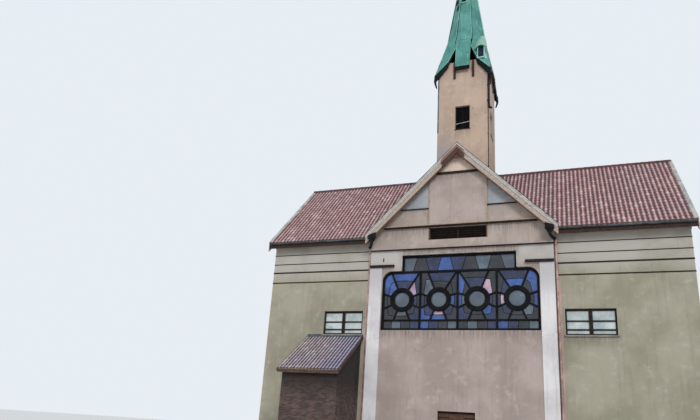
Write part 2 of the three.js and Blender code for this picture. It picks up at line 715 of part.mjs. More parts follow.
// A tongue: the octagon's face run down over the middle of a side
function tongue(quarter) {
  const top = apothemAt(SPIRE_FOLD);
  const outer = [
    new THREE.Vector3(-TONGUE_HALF_WIDTH, -top - SPIRE_LAP, SPIRE_FOLD + SPIRE_SHEET),
    new THREE.Vector3(-TONGUE_HALF_WIDTH, -TONGUE_REACH, TONGUE_BOTTOM),
    new THREE.Vector3(TONGUE_HALF_WIDTH, -TONGUE_REACH, TONGUE_BOTTOM),
    new THREE.Vector3(TONGUE_HALF_WIDTH, -top - SPIRE_LAP, SPIRE_FOLD + SPIRE_SHEET),
  ];
  return slabFrom(outer, new THREE.Vector3(0, SPIRE_SHEET, 0), [[0, 1, 2], [0, 2, 3]])
    .rotateZ((quarter * Math.PI) / 2)
    .translate(0, TOWER_Y, 0);
}

function spire() {
  const shell = cut(octagonCone(SPIRE_APOTHEM, SPIRE_FOLD, SPIRE_TIP),
    [octagonCone(SPIRE_APOTHEM - SPIRE_SHEET, SPIRE_FOLD - SPIRE_LAP, SPIRE_TIP - SPIRE_POINT)]);
  const pieces = [shell];
  for (let quarter = 0; quarter < 4; quarter++) {
    pieces.push(broach(quarter, 0, SPIRE_SHEET));
    pieces.push(tongue(quarter));
  }
  add("spire", joined(pieces), copper);
}

function finial() {
  const foot = SPIRE_TIP - FINIAL_SUNK;
  const socket = new THREE.CylinderGeometry(SOCKET_RADIUS, SOCKET_RADIUS, FINIAL_SUNK, ROUND_SIDES)
    .rotateX(Math.PI / 2).translate(0, TOWER_Y, SPIRE_TIP);
  const ball = new THREE.SphereGeometry(BALL_RADIUS, ROUND_SIDES, BALL_RINGS)
    .rotateX(Math.PI / 2).translate(0, TOWER_Y, SPIRE_TIP + BALL_RADIUS);
  const upright = block(-CROSS_BAR / 2, CROSS_BAR / 2, TOWER_Y - CROSS_BAR / 2, TOWER_Y + CROSS_BAR / 2,
    SPIRE_TIP + BALL_RADIUS, SPIRE_TIP + BALL_RADIUS + CROSS_HEIGHT);
  const armZ = SPIRE_TIP + BALL_RADIUS + CROSS_ARM_AT * CROSS_HEIGHT;
  const arm = block(-CROSS_ARM, CROSS_ARM, TOWER_Y - CROSS_BAR / 2, TOWER_Y + CROSS_BAR / 2,
    armZ - CROSS_BAR / 2, armZ + CROSS_BAR / 2);
  const whole = joined([socket, ball, upright, arm]);
  const cone = octagonCone(SPIRE_APOTHEM + GAP, SPIRE_FOLD, SPIRE_TIP + GAP);
  add("spire_cross", cut(whole, [cone, block(-BALL_RADIUS, BALL_RADIUS, 0, BODY_DEPTH, 0, foot)]), darkPaint);
}

function annex() {
  const rise = (ANNEX_TOP - ANNEX_EAVE) / (WING_SETBACK - ANNEX_EAVE_Y);
  const roofTopAt = (y) => ANNEX_EAVE + rise * (y - ANNEX_EAVE_Y);
  const wallTopAt = (y) => roofTopAt(y) - ANNEX_ROOF_THICKNESS - GAP;
  const back = WING_SETBACK - GAP;
  const innerFront = ANNEX_FRONT + ANNEX_WALL;
  const frontProfile = outline([
    [ANNEX_FRONT, 0], [innerFront, 0],
    [innerFront, wallTopAt(innerFront)], [ANNEX_FRONT, wallTopAt(ANNEX_FRONT)],
  ]);
  add("annex_front_wall", alongX(frontProfile, ANNEX_LEFT, ANNEX_RIGHT), brick);
  const sideProfile = outline([
    [innerFront + GAP, 0], [back, 0],
    [back, wallTopAt(back)], [innerFront + GAP, wallTopAt(innerFront + GAP)],
  ]);
  add("annex_left_wall", alongX(sideProfile, ANNEX_LEFT, ANNEX_LEFT + ANNEX_WALL), brick);
  add("annex_right_wall", alongX(sideProfile, ANNEX_RIGHT - ANNEX_WALL, ANNEX_RIGHT), brick);
  add("annex_floor", block(ANNEX_LEFT + ANNEX_WALL + GAP, ANNEX_RIGHT - ANNEX_WALL - GAP,
    innerFront + GAP, back, 0, FLOOR_TOP), concrete);
  const roofProfile = outline([
    [ANNEX_EAVE_Y, ANNEX_EAVE - ANNEX_ROOF_THICKNESS], [back, roofTopAt(back) - ANNEX_ROOF_THICKNESS],
    [back, roofTopAt(back)], [ANNEX_EAVE_Y, ANNEX_EAVE],
  ]);
  const roofLeft = ANNEX_LEFT - ANNEX_VERGE;
  const roofRight = ANNEX_RIGHT + ANNEX_VERGE / 2;
  const line = [[ANNEX_EAVE_Y, ANNEX_EAVE], [back, roofTopAt(back)]];
  const relief = rolls(roofLeft, roofRight, ANNEX_ROLL, line, rise);
  add("annex_roof", joined([alongX(roofProfile, roofLeft, roofRight), ...relief]), annexTiles);
  const fasciaBack = ANNEX_EAVE_Y - GAP;
  add("annex_fascia", block(roofLeft, roofRight, fasciaBack - ANNEX_FASCIA_THICKNESS, fasciaBack,
    ANNEX_EAVE - ANNEX_FASCIA, ANNEX_EAVE), bargePaint);
}

function downpipes() {
  const x = -BLOCK_HALF_WIDTH - PIPE_STRAP - PIPE_RADIUS;
  const y = WING_SETBACK - PIPE_STAND_OFF - PIPE_RADIUS;
  const tube = new THREE.CylinderGeometry(PIPE_RADIUS, PIPE_RADIUS, PIPE_TOP, ROUND_SIDES)
    .rotateX(Math.PI / 2).translate(x, y, PIPE_TOP / 2);
  const straps = PIPE_STRAPS.map((part) => block(x - PIPE_RADIUS, x + PIPE_RADIUS, y, WING_SETBACK - GAP,
    part * PIPE_TOP, part * PIPE_TOP + PIPE_STRAP));
  const pipe = joined([tube, ...straps]);
  add("left_downpipe", pipe, pipeMetal);
  add("right_downpipe", mirroredX(pipe), pipeMetal);
}

floor();
frontWalls();
rearWalls();
wingWalls();
roofs();
bargeBoards();
gableLedges();
gableBay();
louvre();
bigWindows();
wingWindows();
entrance();
towerWalls();
spire();
finial();
annex();
downpipes();

church.position.y = -MIDDLE_Y;

export default church;
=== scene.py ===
"""A rendered church with stained glass, tiled roofs, a ridge turret, a copper spire and a brick lean-to.

Metres, +Z up. The front faces -Y, and the origin is on the ground under the crossing of the two roofs.
"""

import math
import random
from contextlib import contextmanager

import bmesh
import bpy
import numpy as np
from mathutils import Matrix, Vector


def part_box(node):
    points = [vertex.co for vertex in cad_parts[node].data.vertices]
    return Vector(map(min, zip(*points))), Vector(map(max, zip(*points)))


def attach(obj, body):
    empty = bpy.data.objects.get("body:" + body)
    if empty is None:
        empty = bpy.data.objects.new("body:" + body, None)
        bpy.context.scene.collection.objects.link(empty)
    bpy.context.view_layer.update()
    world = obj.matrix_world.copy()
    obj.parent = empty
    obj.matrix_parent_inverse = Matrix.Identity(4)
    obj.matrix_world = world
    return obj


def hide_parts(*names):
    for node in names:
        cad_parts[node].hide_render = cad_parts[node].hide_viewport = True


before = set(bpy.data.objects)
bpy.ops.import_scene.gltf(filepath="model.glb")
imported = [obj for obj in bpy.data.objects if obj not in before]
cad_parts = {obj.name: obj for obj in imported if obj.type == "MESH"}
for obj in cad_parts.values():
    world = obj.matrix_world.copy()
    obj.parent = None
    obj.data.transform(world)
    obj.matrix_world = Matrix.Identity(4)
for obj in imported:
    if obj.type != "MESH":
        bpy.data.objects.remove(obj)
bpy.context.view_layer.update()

# Places and sizes read from the frame
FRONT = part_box("front_gable_wall")[0][1]
HALF_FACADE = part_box("front_gable_wall")[1][0]
WINDOW_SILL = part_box("front_wall_lower_left")[1][2]
GLASS_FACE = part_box("front_window_glass")[0][1]
BAR_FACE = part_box("front_window_tracery")[0][1]
CROSS_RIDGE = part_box("front_barge_board")[1][2]
CROSS_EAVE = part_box("front_gable_roof")[1][0]
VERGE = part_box("front_gable_roof")[0][1]
MAIN_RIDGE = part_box("left_wing_barge_board")[1][2]
WING_VERGE = -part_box("left_wing_roof")[0][0]
MAIN_EAVE = -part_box("left_wing_roof")[0][1]
WING_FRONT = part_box("left_wing_front_wall_lower")[0][1]
WING_END = -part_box("left_wing_end_wall")[0][0]
BAY_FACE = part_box("gable_bay")[0][1]
BAY_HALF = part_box("gable_bay")[1][0]
TOWER_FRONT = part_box("tower_front_wall")[0][1]
TOWER_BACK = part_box("tower_rear_wall")[1][1]
TOWER_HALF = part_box("tower_front_wall")[1][0]
TOWER_Y = (TOWER_FRONT + TOWER_BACK) / 2
ANNEX_LOW, ANNEX_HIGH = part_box("annex_front_wall")
ANNEX_ROOF_LOW, ANNEX_ROOF_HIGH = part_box("annex_roof")
ANNEX_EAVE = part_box("annex_fascia")[1][2]
RIDGE_STEP = MAIN_RIDGE - CROSS_RIDGE

# Sizes that the frame doesn't hold
SLOPE = math.sqrt(0.5)
ROOF_THICKNESS = 0.3
SPIRE_FOLD = 24.6
SPIRE_APOTHEM = 1.19
SPIRE_TIP = 32.8
WINDOW_HALF = 4.0
WINDOW_SHOULDER = 9.75
WINDOW_CORNER = 0.55
WINDOW_STEP = 2.95
WINDOW_HEAD = 10.6
BELFRY_SILL = 18.4
BELFRY_HEAD = 19.9
BELFRY_HALF = 0.42
LOUVRE_HALF = 1.5
PLINTH_TOP = 0.42

SIDES = ((-1, "left"), (1, "right"))
FACES = ((-1, "front"), (1, "rear"))

# The camera, fitted to the photograph's 700 by 420 pixels
IMAGE_WIDTH = 700
SENSOR = 36.0
FOCAL_PIXELS = 588.3
CAMERA_PLACE = Vector((5.583, -34.17, 1.553))
CAMERA_TURNS = (21.76, 17.43, 3.78)
CAMERA_SHIFT = 0.05


def add_object(name, data):
    made = bpy.data.objects.new(name, data)
    bpy.context.scene.collection.objects.link(made)
    return made


def make_camera():
    yaw, pitch, roll = (math.radians(a) for a in CAMERA_TURNS)
    forward = Vector((-math.sin(yaw) * math.cos(pitch), math.cos(yaw) * math.cos(pitch), math.sin(pitch)))
    level = Vector((math.cos(yaw), math.sin(yaw), 0))
    upward = level.cross(forward)
    right = level * math.cos(roll) + upward * math.sin(roll)
    up = upward * math.cos(roll) - level * math.sin(roll)
    data = bpy.data.cameras.new("camera")
    data.sensor_width = SENSOR
    data.lens = SENSOR * FOCAL_PIXELS / IMAGE_WIDTH
    data.shift_y = CAMERA_SHIFT
    data.clip_end = 1000
    camera = add_object("camera", data)
    turn = Matrix((right, up, -forward)).transposed().to_4x4()
    camera.matrix_world = Matrix.Translation(CAMERA_PLACE) @ turn
    bpy.context.scene.camera = camera


def make_lights():
    """A pale sky that lights softly, a plain backdrop that only the camera sees, and two soft suns."""
    world = bpy.data.worlds.new("world")
    world.use_nodes = True
    tree = world.node_tree
    light = tree.nodes["Background"]
    light.inputs["Color"].default_value = (0.86, 0.91, 0.97, 1)
    light.inputs["Strength"].default_value = 0.67
    backdrop = tree.nodes.new("ShaderNodeBackground")
    backdrop.inputs["Color"].default_value = (0.80, 0.85, 0.90, 1)
    seen = tree.nodes.new("ShaderNodeLightPath")
    blend = tree.nodes.new("ShaderNodeMixShader")
    for source, target in (
        (seen.outputs["Is Camera Ray"], blend.inputs[0]),
        (light.outputs[0], blend.inputs[1]),
        (backdrop.outputs[0], blend.inputs[2]),
        (blend.outputs[0], tree.nodes["World Output"].inputs["Surface"]),
    ):
        tree.links.new(source, target)
    bpy.context.scene.world = world
    for name, strength, spread, towards in (
        ("key", 1.75, 22, (-0.42, 0.80, -0.60)),
        ("fill", 0.45, 60, (0.8, 0.45, -0.35)),
    ):
        data = bpy.data.lights.new(name, "SUN")
        data.energy = strength
        data.angle = math.radians(spread)
        add_object(name, data).rotation_euler = Vector(towards).to_track_quat("-Z", "Y").to_euler()


def linear(colour):
    """A colour given as 0 to 255 on a screen, as the renderer's linear values."""
    values = [value / 255 for value in colour]
    return [v / 12.92 if v <= 0.04045 else ((v + 0.055) / 1.055) ** 2.4 for v in values] + [1.0]


class Shader:
    """A material under construction. Colours are 0 to 255, and each layer lies on the ones before."""

    def __init__(self, name, roughness=0.8, metallic=0.0):
        self.material = bpy.data.materials.new(name)
        self.material.use_nodes = True
        self.tree = self.material.node_tree
        self.bsdf = self.tree.nodes["Principled BSDF"]
        self.bsdf.inputs["Roughness"].default_value = roughness
        self.bsdf.inputs["Metallic"].default_value = metallic
        self.place = self.node("ShaderNodeTexCoord").outputs["Object"]
        self.colour = None

    def node(self, kind, inputs=None, **settings):
        made = self.tree.nodes.new(kind)
        for key, value in settings.items():
            setattr(made, key, value)
        for key, value in (inputs or {}).items():
            self.feed(made.inputs[key], value)
        return made

    def feed(self, socket, value):
        if isinstance(value, bpy.types.NodeSocket):
            self.tree.links.new(value, socket)
        else:
            socket.default_value = value

    def noise(self, scale, detail=4.0, stretch=(1, 1, 1), roughness=0.55, shift=(0, 0, 0)):
        placing = {"Vector": self.place, "Scale": stretch, "Location": shift}
        place = self.node("ShaderNodeMapping", placing).outputs[0]
        inputs = {"Vector": place, "Scale": scale, "Detail": detail, "Roughness": roughness}
        return self.node("ShaderNodeTexNoise", inputs).outputs["Fac"]

    def cells(self, scale, place=None, feature="F1"):
        inputs = {"Vector": place or self.place, "Scale": scale}
        return self.node("ShaderNodeTexVoronoi", inputs, feature=feature).outputs["Distance"]

    def warped(self, scale, amount):
        """Places pushed about by a noise, so that a pattern on them runs unevenly."""
        drift = self.node("ShaderNodeTexNoise", {"Vector": self.place, "Scale": scale, "Detail": 5.0})
        inputs = {0: drift.outputs["Color"], 1: (amount, amount, amount), 2: self.place}
        return self.node("ShaderNodeVectorMath", inputs, operation="MULTIPLY_ADD").outputs[0]

    def ramp(self, factor, low, high, low_value=0.0, high_value=1.0):
        inputs = {"Value": factor, "From Min": low, "From Max": high, "To Min": low_value, "To Max": high_value}
        return self.node("ShaderNodeMapRange", inputs, interpolation_type="SMOOTHSTEP").outputs["Result"]

    def maths(self, operation, first, second=0.0):
        return self.node("ShaderNodeMath", {0: first, 1: second}, operation=operation).outputs[0]

    def times(self, first, *others):
        for other in others:
            first = self.maths("MULTIPLY", first, other)
        return first

    def axis(self, letter):
        return self.node("ShaderNodeSeparateXYZ", {"Vector": self.place}).outputs[letter]

    def number(self, name):
        """A number that the mesh holds for each point."""
        return self.node("ShaderNodeAttribute", attribute_name=name).outputs["Fac"]

    def lay(self, share, colour):
        """Lays a colour over the ones before. share is how much of it shows."""
        inputs = {0: share, 6: self.colour, 7: linear(colour)}
        self.colour = self.node("ShaderNodeMix", inputs, data_type="RGBA").outputs[2]

    def ground(self, pattern, low, high, first, second):
        """The lowest layer: one colour where the pattern is low, and another where it is high."""
        self.colour = linear(first)
        self.lay(self.ramp(pattern, low, high), second)

    def layer(self, pattern, low, high, share, colour):
        """A colour where a pattern rises from low to high, and up to a share of it there."""
        self.lay(self.ramp(pattern, low, high, 0, share), colour)

    def finish(self, bumps=(), roughness=None):
        """Wires the colour, the bumps as pairs of a height and a distance, and the roughness."""
        self.feed(self.bsdf.inputs["Base Color"], self.colour)
        if roughness is not None:
            self.feed(self.bsdf.inputs["Roughness"], roughness)
        target = self.bsdf.inputs["Normal"]
        for height, distance in reversed(bumps):
            bump = self.node("ShaderNodeBump", {"Height": height, "Distance": distance, "Strength": 1.0})
            self.feed(target, bump.outputs["Normal"])
            target = bump.inputs["Normal"]
        return self.material


def render_coat(name, base, dark, pale, ledges=(), grime=0.5, foot=True, washes=(), front_only=False):
    """Rough lime render: patches, rain streaks, dust under ledges, washes of colour, among them painted shade
    and painted light, splash at the foot and cracks.
    """
    s = Shader(name, 0.92)
    broad = s.noise(0.55, 5)
    s.ground(broad, 0.36, 0.64, dark, base)
    patches = s.noise(2.1, 6, roughness=0.65, shift=(7, 3, 1))
    s.layer(patches, 0.52, 0.74, 0.55, pale)
    s.layer(s.noise(2.4, 5, (2.6, 2.6, 0.16), 0.6), 0.5, 0.78, 0.5 * grime, (96, 84, 76))
    thin = s.noise(7.0, 3, (3.2, 3.2, 0.12), 0.7, (1, 9, 4))
    height = s.axis("Z")
    across = s.maths("ABSOLUTE", s.axis("X"))
    in_front = s.maths("LESS_THAN", s.axis("Y"), 0.0) if front_only else 1.0
    for top, depth, inner, outer in ledges:
        s.lay(s.times(s.ramp(height, top - depth, top), s.maths("LESS_THAN", height, top),
                      s.ramp(thin, 0.35, 0.62, 0.05, 0.9), s.ramp(across, outer + 0.12, outer - 0.12),
                      s.maths("GREATER_THAN", across, inner), in_front, grime), (70, 60, 54))
    for both_sides, x_range, z_range, ceiling, tone in washes:
        place = across if both_sides else s.axis("X")
        s.lay(s.times(s.ramp(place, *x_range), s.ramp(height, *z_range), s.ramp(broad, 0.30, 0.55, 0.5, 0.95),
                      s.maths("LESS_THAN", height, ceiling), in_front), tone)
    if foot:
        s.lay(s.times(s.ramp(height, 1.3, 0.0), s.ramp(patches, 0.3, 0.62, 0.25, 0.85)), (92, 84, 72))
    cracks = s.cells(0.55, s.warped(1.7, 0.7), "DISTANCE_TO_EDGE")
    crack = s.times(s.ramp(cracks, 0.006, 0.0), s.ramp(s.noise(0.5, 3, shift=(3, 8, 2)), 0.55, 0.62))
    s.lay(s.times(crack, 0.5), (84, 72, 66))
    grain = s.noise(95, 3, roughness=0.7)
    trowel = s.noise(9, 4, (1, 1, 1.6), shift=(2, 2, 5))
    s.layer(grain, 0.3, 0.7, 0.16, (80, 70, 64))
    return s.finish(((grain, 0.004), (trowel, 0.008), (s.times(crack, -1.0), 0.004)),
                    s.ramp(patches, 0.3, 0.7, 0.95, 0.82))


def clay_tiles(name, base, dark, pale, bloom, crest_light=0.52, blue_from=None):
    """Clay tiles: each its own tone, with lichen, a painted highlight on the crests and painted shade in the
    pans and on the tiles' feet.
    """
    s = Shader(name, 0.8)
    tone = s.number("tint")
    s.colour = linear(dark)
    s.lay(s.ramp(tone, 0.0, 1.0, 0.25, 1.0), base)
    s.lay(s.times(s.ramp(tone, 0.8, 1.0), 0.4), pale)
    s.layer(s.noise(0.6, 4), 0.42, 0.7, 0.4, bloom)
    lichen = s.noise(11, 5, roughness=0.72, shift=(5, 1, 8))
    s.layer(lichen, 0.58, 0.7, 0.7, pale)
    s.layer(s.noise(4.0, 4, shift=(9, 9, 0)), 0.5, 0.72, 0.5, (58, 44, 44))
    if blue_from is not None:
        damp = s.ramp(s.axis("X"), blue_from, blue_from + 1.7)
        s.lay(s.times(damp, s.ramp(lichen, 0.3, 0.6, 0.45, 0.8)), (98, 98, 142))
    # The crest number gives painted light: painted shade where it is low, in the pans and on the tiles' feet,
    # and a painted highlight where it is high, on the crests.
    crest = s.number("crest")
    s.layer(crest, 0.6, 0.0, 0.78, (44, 30, 33))
    s.layer(crest, 0.7, 1.0, crest_light, pale)
    grain = s.noise(120, 3, roughness=0.7)
    return s.finish(((grain, 0.002), (lichen, 0.004)), s.ramp(lichen, 0.4, 0.7, 0.72, 0.95))


# Painted shade on the brick and mortar under the lean-to's eave: from one height to another, its share and its
# colour
EAVE_PAINTED_SHADE = (2.5, 4.1, 0.85, (28, 25, 23))


def brick_clay():
    s = Shader("brick_clay", 0.9)
    tone = s.number("tint")
    s.ground(tone, 0, 1, (62, 49, 47), (98, 76, 70))
    s.layer(tone, 0.8, 1.0, 0.55, (86, 79, 78))
    s.layer(s.noise(1.6, 5, roughness=0.65), 0.42, 0.7, 0.62, (50, 42, 42))
    s.layer(s.noise(14, 5, roughness=0.75, shift=(4, 4, 4)), 0.56, 0.75, 0.4, (138, 118, 110))
    # Painted shade under the lean-to's eave
    s.layer(s.axis("Z"), *EAVE_PAINTED_SHADE)
    return s.finish(((s.noise(140, 4, roughness=0.75), 0.003), (s.ramp(s.cells(70), 0.0, 0.35), 0.002)))


def mortar():
    s = Shader("mortar", 0.95)
    patches = s.noise(3.5, 5)
    s.ground(patches, 0.3, 0.7, (78, 68, 64), (116, 104, 96))
    grain = s.noise(160, 3, roughness=0.8)
    s.layer(grain, 0.35, 0.7, 0.35, (60, 54, 52))
    # Painted shade under the lean-to's eave
    s.layer(s.axis("Z"), *EAVE_PAINTED_SHADE)
    return s.finish(((grain, 0.003), (patches, 0.004)))


def verdigris(name, base, deep, light, salted=1.0):
    """Copper sheet gone green: drifts of tone, long rain runs, pale salts and a few brown scars."""
    s = Shader(name, 0.5, 0.35)
    s.ground(s.noise(0.9, 5), 0.36, 0.64, deep, base)
    s.layer(s.noise(3.0, 6, (3.0, 3.0, 0.22), 0.62), 0.52, 0.75, 0.75, light)
    s.layer(s.noise(4.6, 5, (2.4, 2.4, 0.15), shift=(3, 7, 1)), 0.56, 0.78, 0.55 * salted, (38, 84, 80))
    salts = s.noise(17, 6, roughness=0.75, shift=(8, 2, 6))
    s.layer(salts, 0.58, 0.72, 0.45 * salted, (150, 200, 184))
    s.layer(s.noise(1.7, 7, roughness=0.7, shift=(0, 5, 9)), 0.66, 0.74, 0.6, (92, 76, 62))
    dents = s.noise(2.2, 3)
    grain = s.noise(60, 4, roughness=0.7)
    return s.finish(((dents, 0.02), (grain, 0.0015)), s.ramp(salts, 0.35, 0.7, 0.42, 0.78))


def timber(name, base, dark, grain_axis="X", rust=None, wear=0.4, rusting=0.6, apex=None):
    """Painted or stained board: grain along an axis, worn patches, rust, and a broken stain at the apex."""
    s = Shader(name, 0.72)
    fibre = s.noise(42, 6, {"X": (0.12, 1, 1), "Z": (1, 1, 0.12)}[grain_axis], 0.65)
    s.ground(fibre, 0.35, 0.68, dark, base)
    patches = s.noise(3.2, 6, roughness=0.7, shift=(2, 6, 3))
    s.layer(patches, 0.5, 0.72, wear, dark)
    if rust:
        s.layer(s.noise(6.5, 7, roughness=0.75, shift=(6, 3, 7)), 0.5, 0.62, rusting, rust)
    if apex:
        x = s.axis("X")
        in_front = s.ramp(s.axis("Y"), -5.2, -5.45)
        near = s.times(s.ramp(x, -1.25, -0.5), s.ramp(x, 0.7, 0.1), in_front)
        broken = s.maths("SUBTRACT", s.noise(4.5, 6, roughness=0.7, shift=(8, 1, 3)), 0.5)
        stain = s.ramp(s.maths("ADD", near, s.times(broken, 1.6)), 0.45, 0.6)
        s.lay(s.times(stain, s.ramp(x, -1.3, -1.1), s.ramp(x, 0.8, 0.6), in_front), apex)
    chips = s.noise(26, 4, roughness=0.7, shift=(1, 1, 8))
    return s.finish(((fibre, 0.003), (chips, 0.002)), s.ramp(patches, 0.35, 0.7, 0.6, 0.88))


def sheet_metal(name, base, dark, rust, roughness, metallic):
    s = Shader(name, roughness, metallic)
    drift = s.noise(2.5, 5)
    s.ground(drift, 0.35, 0.65, dark, base)
    spots = s.noise(9, 7, roughness=0.75, shift=(5, 5, 1))
    s.layer(spots, 0.58, 0.7, 0.8, rust)
    return s.finish(((drift, 0.006), (s.noise(90, 3), 0.001)), s.ramp(spots, 0.4, 0.7, roughness, 0.85))


def coloured_glass(name, base, deep, roughness=0.12):
    """A pane of antique glass: uneven colour, seeds and a rippled face, dark behind."""
    s = Shader(name, roughness)
    s.ground(s.noise(1.4, 4), 0.32, 0.66, deep, base)
    s.layer(s.number("tint"), 0.0, 1.0, 0.4, deep)
    dust = s.noise(7, 6, roughness=0.7, shift=(4, 0, 2))
    s.layer(dust, 0.55, 0.8, 0.35, (128, 126, 124))
    s.bsdf.inputs["Specular IOR Level"].default_value = 0.7
    s.bsdf.inputs["Coat Weight"].default_value = 0.5
    ripple = s.noise(13, 3, (1, 1, 0.5))
    seeds = s.ramp(s.cells(55), 0.12, 0.0)
    return s.finish(((ripple, 0.004), (seeds, 0.001)), s.ramp(dust, 0.4, 0.8, roughness, 0.5))


def concrete():
    s = Shader("concrete", 0.9)
    patches = s.noise(1.6, 6, roughness=0.65)
    s.ground(patches, 0.35, 0.68, (112, 108, 102), (150, 146, 138))
    grain = s.noise(70, 4, roughness=0.7)
    s.layer(grain, 0.35, 0.7, 0.3, (84, 80, 76))
    return s.finish(((grain, 0.003), (patches, 0.006)))


def floor_paper():
    s = Shader("floor_paper", 0.9)
    s.ground(s.noise(0.12, 3), 0.3, 0.7, (217, 217, 216), (219, 219, 218))
    return s.finish()


# Colours stay as they are given, so that the finishes show on a screen as given.
bpy.context.scene.view_settings.view_transform = "Standard"
make_camera()
make_lights()

# Dust under ledges: the ledge's height, how far down it reaches, and from where to where across
LEDGE_DIRT = ((10.9, 0.9, 0, 9), (12.1, 0.8, 0, 4.0), (9.96, 0.6, 3.35, 4.7), (15.05, 0.5, 0, 1.6),
              (6.6, 0.8, 0, 4.0))
TOWER_DIRT = ((BELFRY_SILL, 0.8, -1, 0.42), (22.9, 1.3, -1, 9))
WING_DIRT = ((11.4, 0.7, 0, 10.15), (6.43, 0.9, 5.0, 7.4))
NO_CEILING = 20
# Washes: whether on both sides, where they begin and end across and upwards, their upper limit, their colour
SHOULDER_WASH = (True, (2.8, 3.3), (9.7, 10.1), 10.88, (184, 180, 174))
# Painted shade: the turret's front turns grey towards its lower left
TOWER_SHADE_WASH = (False, (0.1, -1.2), (18.9, 16.6), NO_CEILING, (148, 145, 146))
PIER_WASH = (True, (3, 3.5), (7.6, 9.6), NO_CEILING, (184, 181, 183))
# Painted light: the wings' walls turn paler from 9.2 m up, offsetting the shade under their eaves
WING_LIGHT_WASH = (True, (4.0, 4.5), (9.2, 10.2), NO_CEILING, (176, 171, 162))

RENDER = render_coat("render", (176, 160, 152), (158, 143, 136), (192, 180, 173), LEDGE_DIRT, front_only=True)
UPPER_RENDER = render_coat("upper_render", (176, 161, 152), (158, 144, 136), (192, 180, 173), LEDGE_DIRT,
                           foot=False, washes=(SHOULDER_WASH,), front_only=True)
# Paler than the render: painted light that offsets the shade under the boards at the apex
PANEL_RENDER = render_coat("panel_render", (220, 196, 178), (204, 181, 164), (230, 210, 196), (), 0.4)
TOWER_RENDER = render_coat("tower_render", (190, 166, 147), (172, 150, 133), (205, 184, 167), TOWER_DIRT, 0.45,
                           foot=False, washes=(TOWER_SHADE_WASH,), front_only=True)
PIER_RENDER = render_coat("pier_render", (221, 218, 218), (201, 197, 199), (233, 232, 233), (), 0.35,
                          washes=(PIER_WASH,))
WING_RENDER = render_coat("wing_render", (162, 156, 138), (142, 138, 119), (180, 174, 160), WING_DIRT,
                          washes=(WING_LIGHT_WASH,))
PINK_RENDER = render_coat("pink_render", (190, 164, 156), (166, 140, 132), (206, 184, 177))
PLINTH_RENDER = render_coat("plinth_render", (132, 124, 116), (112, 104, 98), (150, 143, 136), (), 0.6)
PANEL_GREY = render_coat("panel_grey", (170, 171, 174), (148, 150, 155), (188, 188, 190))
TILE = clay_tiles("roof_tile", (178, 134, 133), (134, 92, 95), (226, 206, 202), (152, 122, 132))
RIDGE_TILE = clay_tiles("ridge_tile", (96, 54, 56), (60, 34, 40), (150, 110, 106), (70, 48, 56))
ANNEX_TILE = clay_tiles("annex_tile", (158, 142, 144), (108, 94, 102), (222, 214, 214), (112, 108, 136),
                        0.7, -6.9)
BRICK = brick_clay()
MORTAR = mortar()
CONCRETE = concrete()
COPPER = verdigris("copper", (88, 150, 144), (66, 128, 119), (126, 186, 174))
PALE_COPPER = verdigris("pale_copper", (158, 194, 176), (134, 178, 162), (190, 212, 194), 0.5)
# A near-black copy of the copper: painted shade under the skirt, beside the seams and on the vents
SHADE_COPPER = verdigris("shade_copper", (15, 20, 22), (9, 12, 13), (30, 44, 44), 0.25)
# A pale copy of the copper: painted highlight on the seams, the beads and the vent's frame
COPPER_HIGHLIGHT = verdigris("copper_highlight", (132, 186, 170), (100, 160, 148), (170, 206, 190))
# A dark blue copy of the copper: painted shade inside the dormer's recess
RECESS_SHADE = verdigris("recess", (30, 42, 62), (14, 20, 34), (48, 66, 84))
BOARD = timber("board", (184, 171, 157), (150, 137, 126), "X", (150, 78, 44), 0.35, 0.4, (68, 38, 28))
FASCIA = timber("fascia", (192, 186, 181), (166, 158, 154), "X", (138, 124, 114), 0.25, 0.6, (128, 96, 80))
RUSTY_EDGE = timber("rusty_edge", (102, 64, 42), (58, 38, 30), "X", (146, 92, 54), 0.6, 0.6, (60, 34, 28))
RED_SOFFIT = timber("red_soffit", (116, 58, 42), (56, 30, 26), "X", (160, 86, 54), 0.6)
BROWN_FASCIA = timber("brown_fascia", (86, 57, 43), (47, 33, 27), "X", (116, 71, 47), 0.5, 0.5)
TAN = timber("tan_paint", (182, 160, 138), (150, 130, 110), "X", (112, 92, 78))
SOFFIT = timber("soffit", (190, 174, 156), (150, 134, 116), wear=0.45)
DARK_WOOD = timber("dark_wood", (54, 44, 40), (28, 22, 21), wear=0.5)
DOOR_WOOD = timber("door_wood", (98, 64, 42), (58, 36, 24), "Z", wear=0.5)
BROWN_WOOD = timber("brown_wood", (74, 54, 46), (42, 30, 28), "Z", wear=0.5)
SHUTTER_SHADE = timber("shutter", (26, 24, 27), (11, 10, 11), wear=0.3)
PALE_RAIL = timber("pale_rail", (188, 186, 186), (140, 138, 138))
FLASHING = sheet_metal("flashing", (186, 186, 180), (146, 146, 142), (120, 96, 80), 0.5, 0.35)
PIPE = sheet_metal("pipe", (190, 158, 150), (150, 120, 112), (104, 66, 50), 0.5, 0.25)
DARK_METAL = sheet_metal("dark_metal", (38, 40, 42), (20, 22, 24), (84, 54, 40), 0.55, 0.3)
GREY_METAL = sheet_metal("grey_metal", (98, 108, 116), (66, 74, 82), (96, 72, 56), 0.45, 0.5)
GREEN_METAL = sheet_metal("green_metal", (34, 40, 42), (18, 22, 24), (64, 58, 48), 0.6, 0.2)
LEAD = sheet_metal("lead", (22, 22, 25), (10, 10, 12), (42, 37, 34), 0.55, 0.2)
